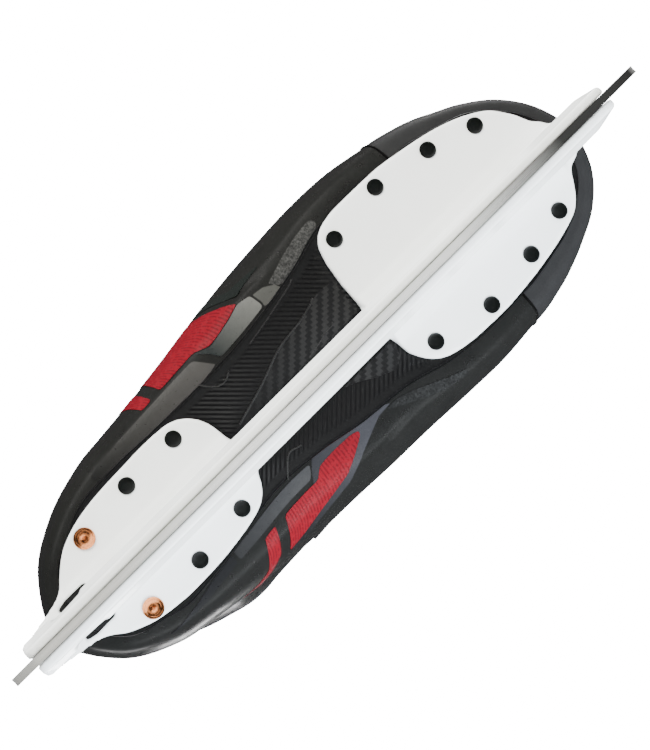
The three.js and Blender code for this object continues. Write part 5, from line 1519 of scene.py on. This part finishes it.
def build_padding():
    us, vs = np.linspace(6.6, 17.4, 190), np.linspace(0.66, 1.0, 52)
    u, v = np.meshgrid(us, vs, indexing="ij")
    t = (v - 0.66) / 0.34
    e = np.clip(np.minimum(u - 6.6, 17.4 - u) / 0.5, 0, 1)
    e = np.sqrt(np.clip(1 - (1 - e) ** 2, 0, 1))
    body = np.sqrt(np.clip(np.sin(np.pi * np.clip(t, 0.02, 0.985)), 0, 1))
    quilt = 0.85 * np.exp(-(((t - 0.36) / 0.03) ** 2)) + 0.85 * np.exp(-(((t - 0.66 - 0.05 * np.cos(u * 1.2)) / 0.03) ** 2))
    depth = 0.9 + (5.0 * body - quilt) * (0.25 + 0.75 * e)
    o = grid_solid("collar_cushion", shell(u, v, -5.6 + 0 * u), shell(u, v, -5.6 - depth), 80)
    puff(o, 0.5, 0.0014)
    rows = np.maximum(np.exp(-(((t - 0.36) / 0.035) ** 2)), np.exp(-(((t - 0.71) / 0.035) ** 2)))
    held = np.maximum(rows, np.maximum(np.clip(1 - e, 0, 1), smooth(np.abs(t - 0.5) * 2 / 0.12 - 7.0)))
    plump(o, np.concatenate([np.ones(u.size), held.ravel()]), 1.4, 12.0)
    finish_piece(o, "boot", MAT["lining"], ["collar_padding"])
    # knit binding rolled over the topline, from facing to facing
    u = np.linspace(6.15, 17.85, 260)
    one = 1 + 0 * u
    top = shell_point(u, one)
    nrm = shell_normal(u, one)
    up_dir = unit(shell_point(u, one) - shell_point(u, 0.98 * one))
    pts = top - nrm * 2.6 + up_dir * 0.6
    e = np.clip(np.minimum(u - 6.15, 17.85 - u) / 0.8, 0, 1)
    sec = [(1.35 * math.cos(a), 3.1 * math.sin(a)) for a in np.linspace(0, 2 * math.pi, 18, endpoint=False)]
    o = sweep("collar_binding", pts, sec, normals=nrm, smooth=70)
    finish_piece(o, "boot", MAT["binding"])
    line = np.linspace(6.4, 17.6, 420)
    one = 0 * line
    stitches("collar_stitches", shell(line, 0.962 + one, 0.05 + one), shell_normal(line, 0.962 + one))


def build_footbed():
    base = np.array([(x, 0) for x in np.linspace(X0 + 9, X1 - 9, 180)])[:, 0]
    xs = np.concatenate([X0 + 9 + 30 * (1 - np.cos(np.linspace(0, math.pi / 2, 26))), np.linspace(X0 + 41, X1 - 43, 60), X1 - 9 - 32 * np.cos(np.linspace(0, math.pi / 2, 26))])
    xs = np.unique(np.round(np.sort(xs), 3))

    def half(s, x):
        k = np.where(x < HEEL_C, HEEL_C + (x - HEEL_C) * (HEEL_C - X0) / (HEEL_C - X0 - 9), np.where(x > FRONT_X, FRONT_X + (x - FRONT_X) * (X1 - FRONT_X) / (X1 - 9 - FRONT_X), x))
        e = half_width(s, k)
        return np.maximum(0.6, e - np.where((x < HEEL_C) | (x > FRONT_X), 9 * np.clip(e / 30, 0, 1), 9))

    t = np.linspace(0, 1, 44)
    l, r = -half(0, xs), half(1, xs)
    y = l[:, None] + (r - l)[:, None] * t
    x = np.repeat(xs[:, None], len(t), 1)
    d = np.minimum(np.minimum(y - l[:, None], r[:, None] - y), np.minimum(x - X0 - 9, X1 - 9 - x))
    lip = 1.4 * (1 - np.sqrt(np.clip(1 - (1 - np.clip(d / 1.4, 0, 1)) ** 2, 0, 1)))
    dots = 0.18 * np.maximum(0, np.sin(x * 0.9) * np.sin(y * 0.9))
    z = sole_z(x) + 10.4 + 1.6 * 4 * (t - 0.5) ** 2 - lip + dots - 0.3
    o = grid_solid("footbed_fine", np.stack([x, y, z], -1), np.stack([x, y, sole_z(x) + 6.6], -1), 60)
    finish_piece(o, "boot", MAT["foam"], ["footbed"])


def lace_points():
    def half_path(first):
        pts = []
        for i in range(11):
            s = (first + i) % 2
            p, n = eye_frame(s, i)
            u = eye_u(s, i)

            def at(v, off, u=u):
                return shell(u, v, np.float64(off))

            if i > 0:
                pts.append(at(0.985, -5.4))
            pts += [p - n * 5.2, p - n * 1.0, p + n * 4.2]
            v = eye_v(u)
            if i == 10:
                pts += [at(v + 0.5 * (1 - v), 5.4), at(1.0, 4.6) + np.array([0, 0, 1.6]), at(1.0, -1.0) + np.array([0, 0, 4.0]), at(0.99, -6.6) + np.array([0, 0, 0.5]), at(0.95, -8.2), at(0.90, -8.4), at(0.84, -8.4)]
                break
            pts += [at(v + 0.35 * (1 - v), 5.4), at(1.0, 5.0)]
            s2 = 1 - s
            u2 = eye_u(s2, i + 1)
            um = (min(u, 24 - u) + min(u2, 24 - u2)) / 2
            sg = 1 if s else -1
            over = 5.3 if first == 0 else 2.1
            for b, h in ((0.42 * sg, lerp(over, 3.6, 0.45)), (0, over), (-0.42 * sg, lerp(over, 2.2, 0.6))):
                q = tongue_front(um - 0.26 * b * sg, b)
                pts.append(q + np.array([0.72, 0, 0.69]) * (h + 1.2))
        return pts

    a, b = half_path(0), half_path(1)
    mid = tongue_front(eye_u(0, 0), 0)
    bar = [shell(eye_u(0, 0), 0.985, np.float64(-5.4)), mid + np.array([2.4, 0, 2.0]), shell(eye_u(1, 0), 0.985, np.float64(-5.4))]
    return a[::-1] + bar + b


def build_lace():
    pts = spline([tuple(p) for p in lace_points()], 8)
    for _ in range(2):
        pts[1:-1] = (pts[:-2] + 2 * pts[1:-1] + pts[2:]) / 4
    # the flat of the lace faces away from the boot
    c = np.stack([pts[:, 0] * 0 - 30 + 0.35 * (pts[:, 0] + 30), pts[:, 1] * 0 + 2, 60 + 0 * pts[:, 2]], -1)
    nrm = unit(pts - c)
    for _ in range(6):
        nrm[1:-1] = unit(nrm[:-2] + 2 * nrm[1:-1] + nrm[2:])
    sec = [(1.75 * math.copysign(abs(math.cos(a)) ** 0.8, math.cos(a)), 0.95 * math.sin(a)) for a in np.linspace(0, 2 * math.pi, 14, endpoint=False)]
    o = sweep("lace_woven", pts, sec, normals=nrm, smooth=60)
    finish_piece(o, "boot", MAT["lace"], ["lace"])
    tips = []
    for e in (0, -1):
        a, b = (pts[0], pts[3]) if e == 0 else (pts[-1], pts[-4])
        d = unit(a - b)
        tips.append(sweep("tip", [a - d * 4, a + d * 5], circle(1.25, 16), smooth=40))
    finish_piece(join("lace_tips", tips, 40), "boot", MAT["black_rivet"])


def build_trigger():
    out = [(-66.4, 42.2), (-64.2, 40.2), (-60, 39.8), (-55, 41.8), (-50, 45.2), (-46, 50), (-43.6, 55.6), (-45.2, 57.2), (-47.4, 56.2), (-50.2, 51.6), (-54.6, 48.6), (-60, 48.2), (-64.6, 47.8), (-66.8, 45.4)]
    p = spline(out, 5, True)
    o = slab("trigger_fine", [tuple(q) for q in p], -3.9, 3.9)
    cutout(o, rod("t", 1.85, (-62, -6, 44), (-62, 6, 44)))
    bevel(o, 0.5, 3, 40)
    bake(o, 40)
    finish_piece(o, "trigger", MAT["trigger"], ["trigger"])


def dress_cad():
    """Simple inner pieces keep their CAD shape, with a finish and softened edges."""
    for name, mat in (("trigger_pin", "steel"), ("latch_spring", "steel"), ("insole_board", "board"), ("liner", "lining")):
        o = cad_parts[name]
        o.data.materials.clear()
        o.data.materials.append(MAT[mat])
        if name in ("trigger_pin", "insole_board"):
            bevel(o, 0.25, 2, 40)


build_holder()
build_runner()
build_rivets()
build_outsole()
build_sole_details()
build_quarters()
build_toe()
build_toe_seam()
graphics()
build_facings()
build_eyelets()
build_tongue()
build_tongue_plate()
build_guard()
build_padding()
build_footbed()
build_lace()
build_trigger()
dress_cad()

bpy.context.view_layer.update()
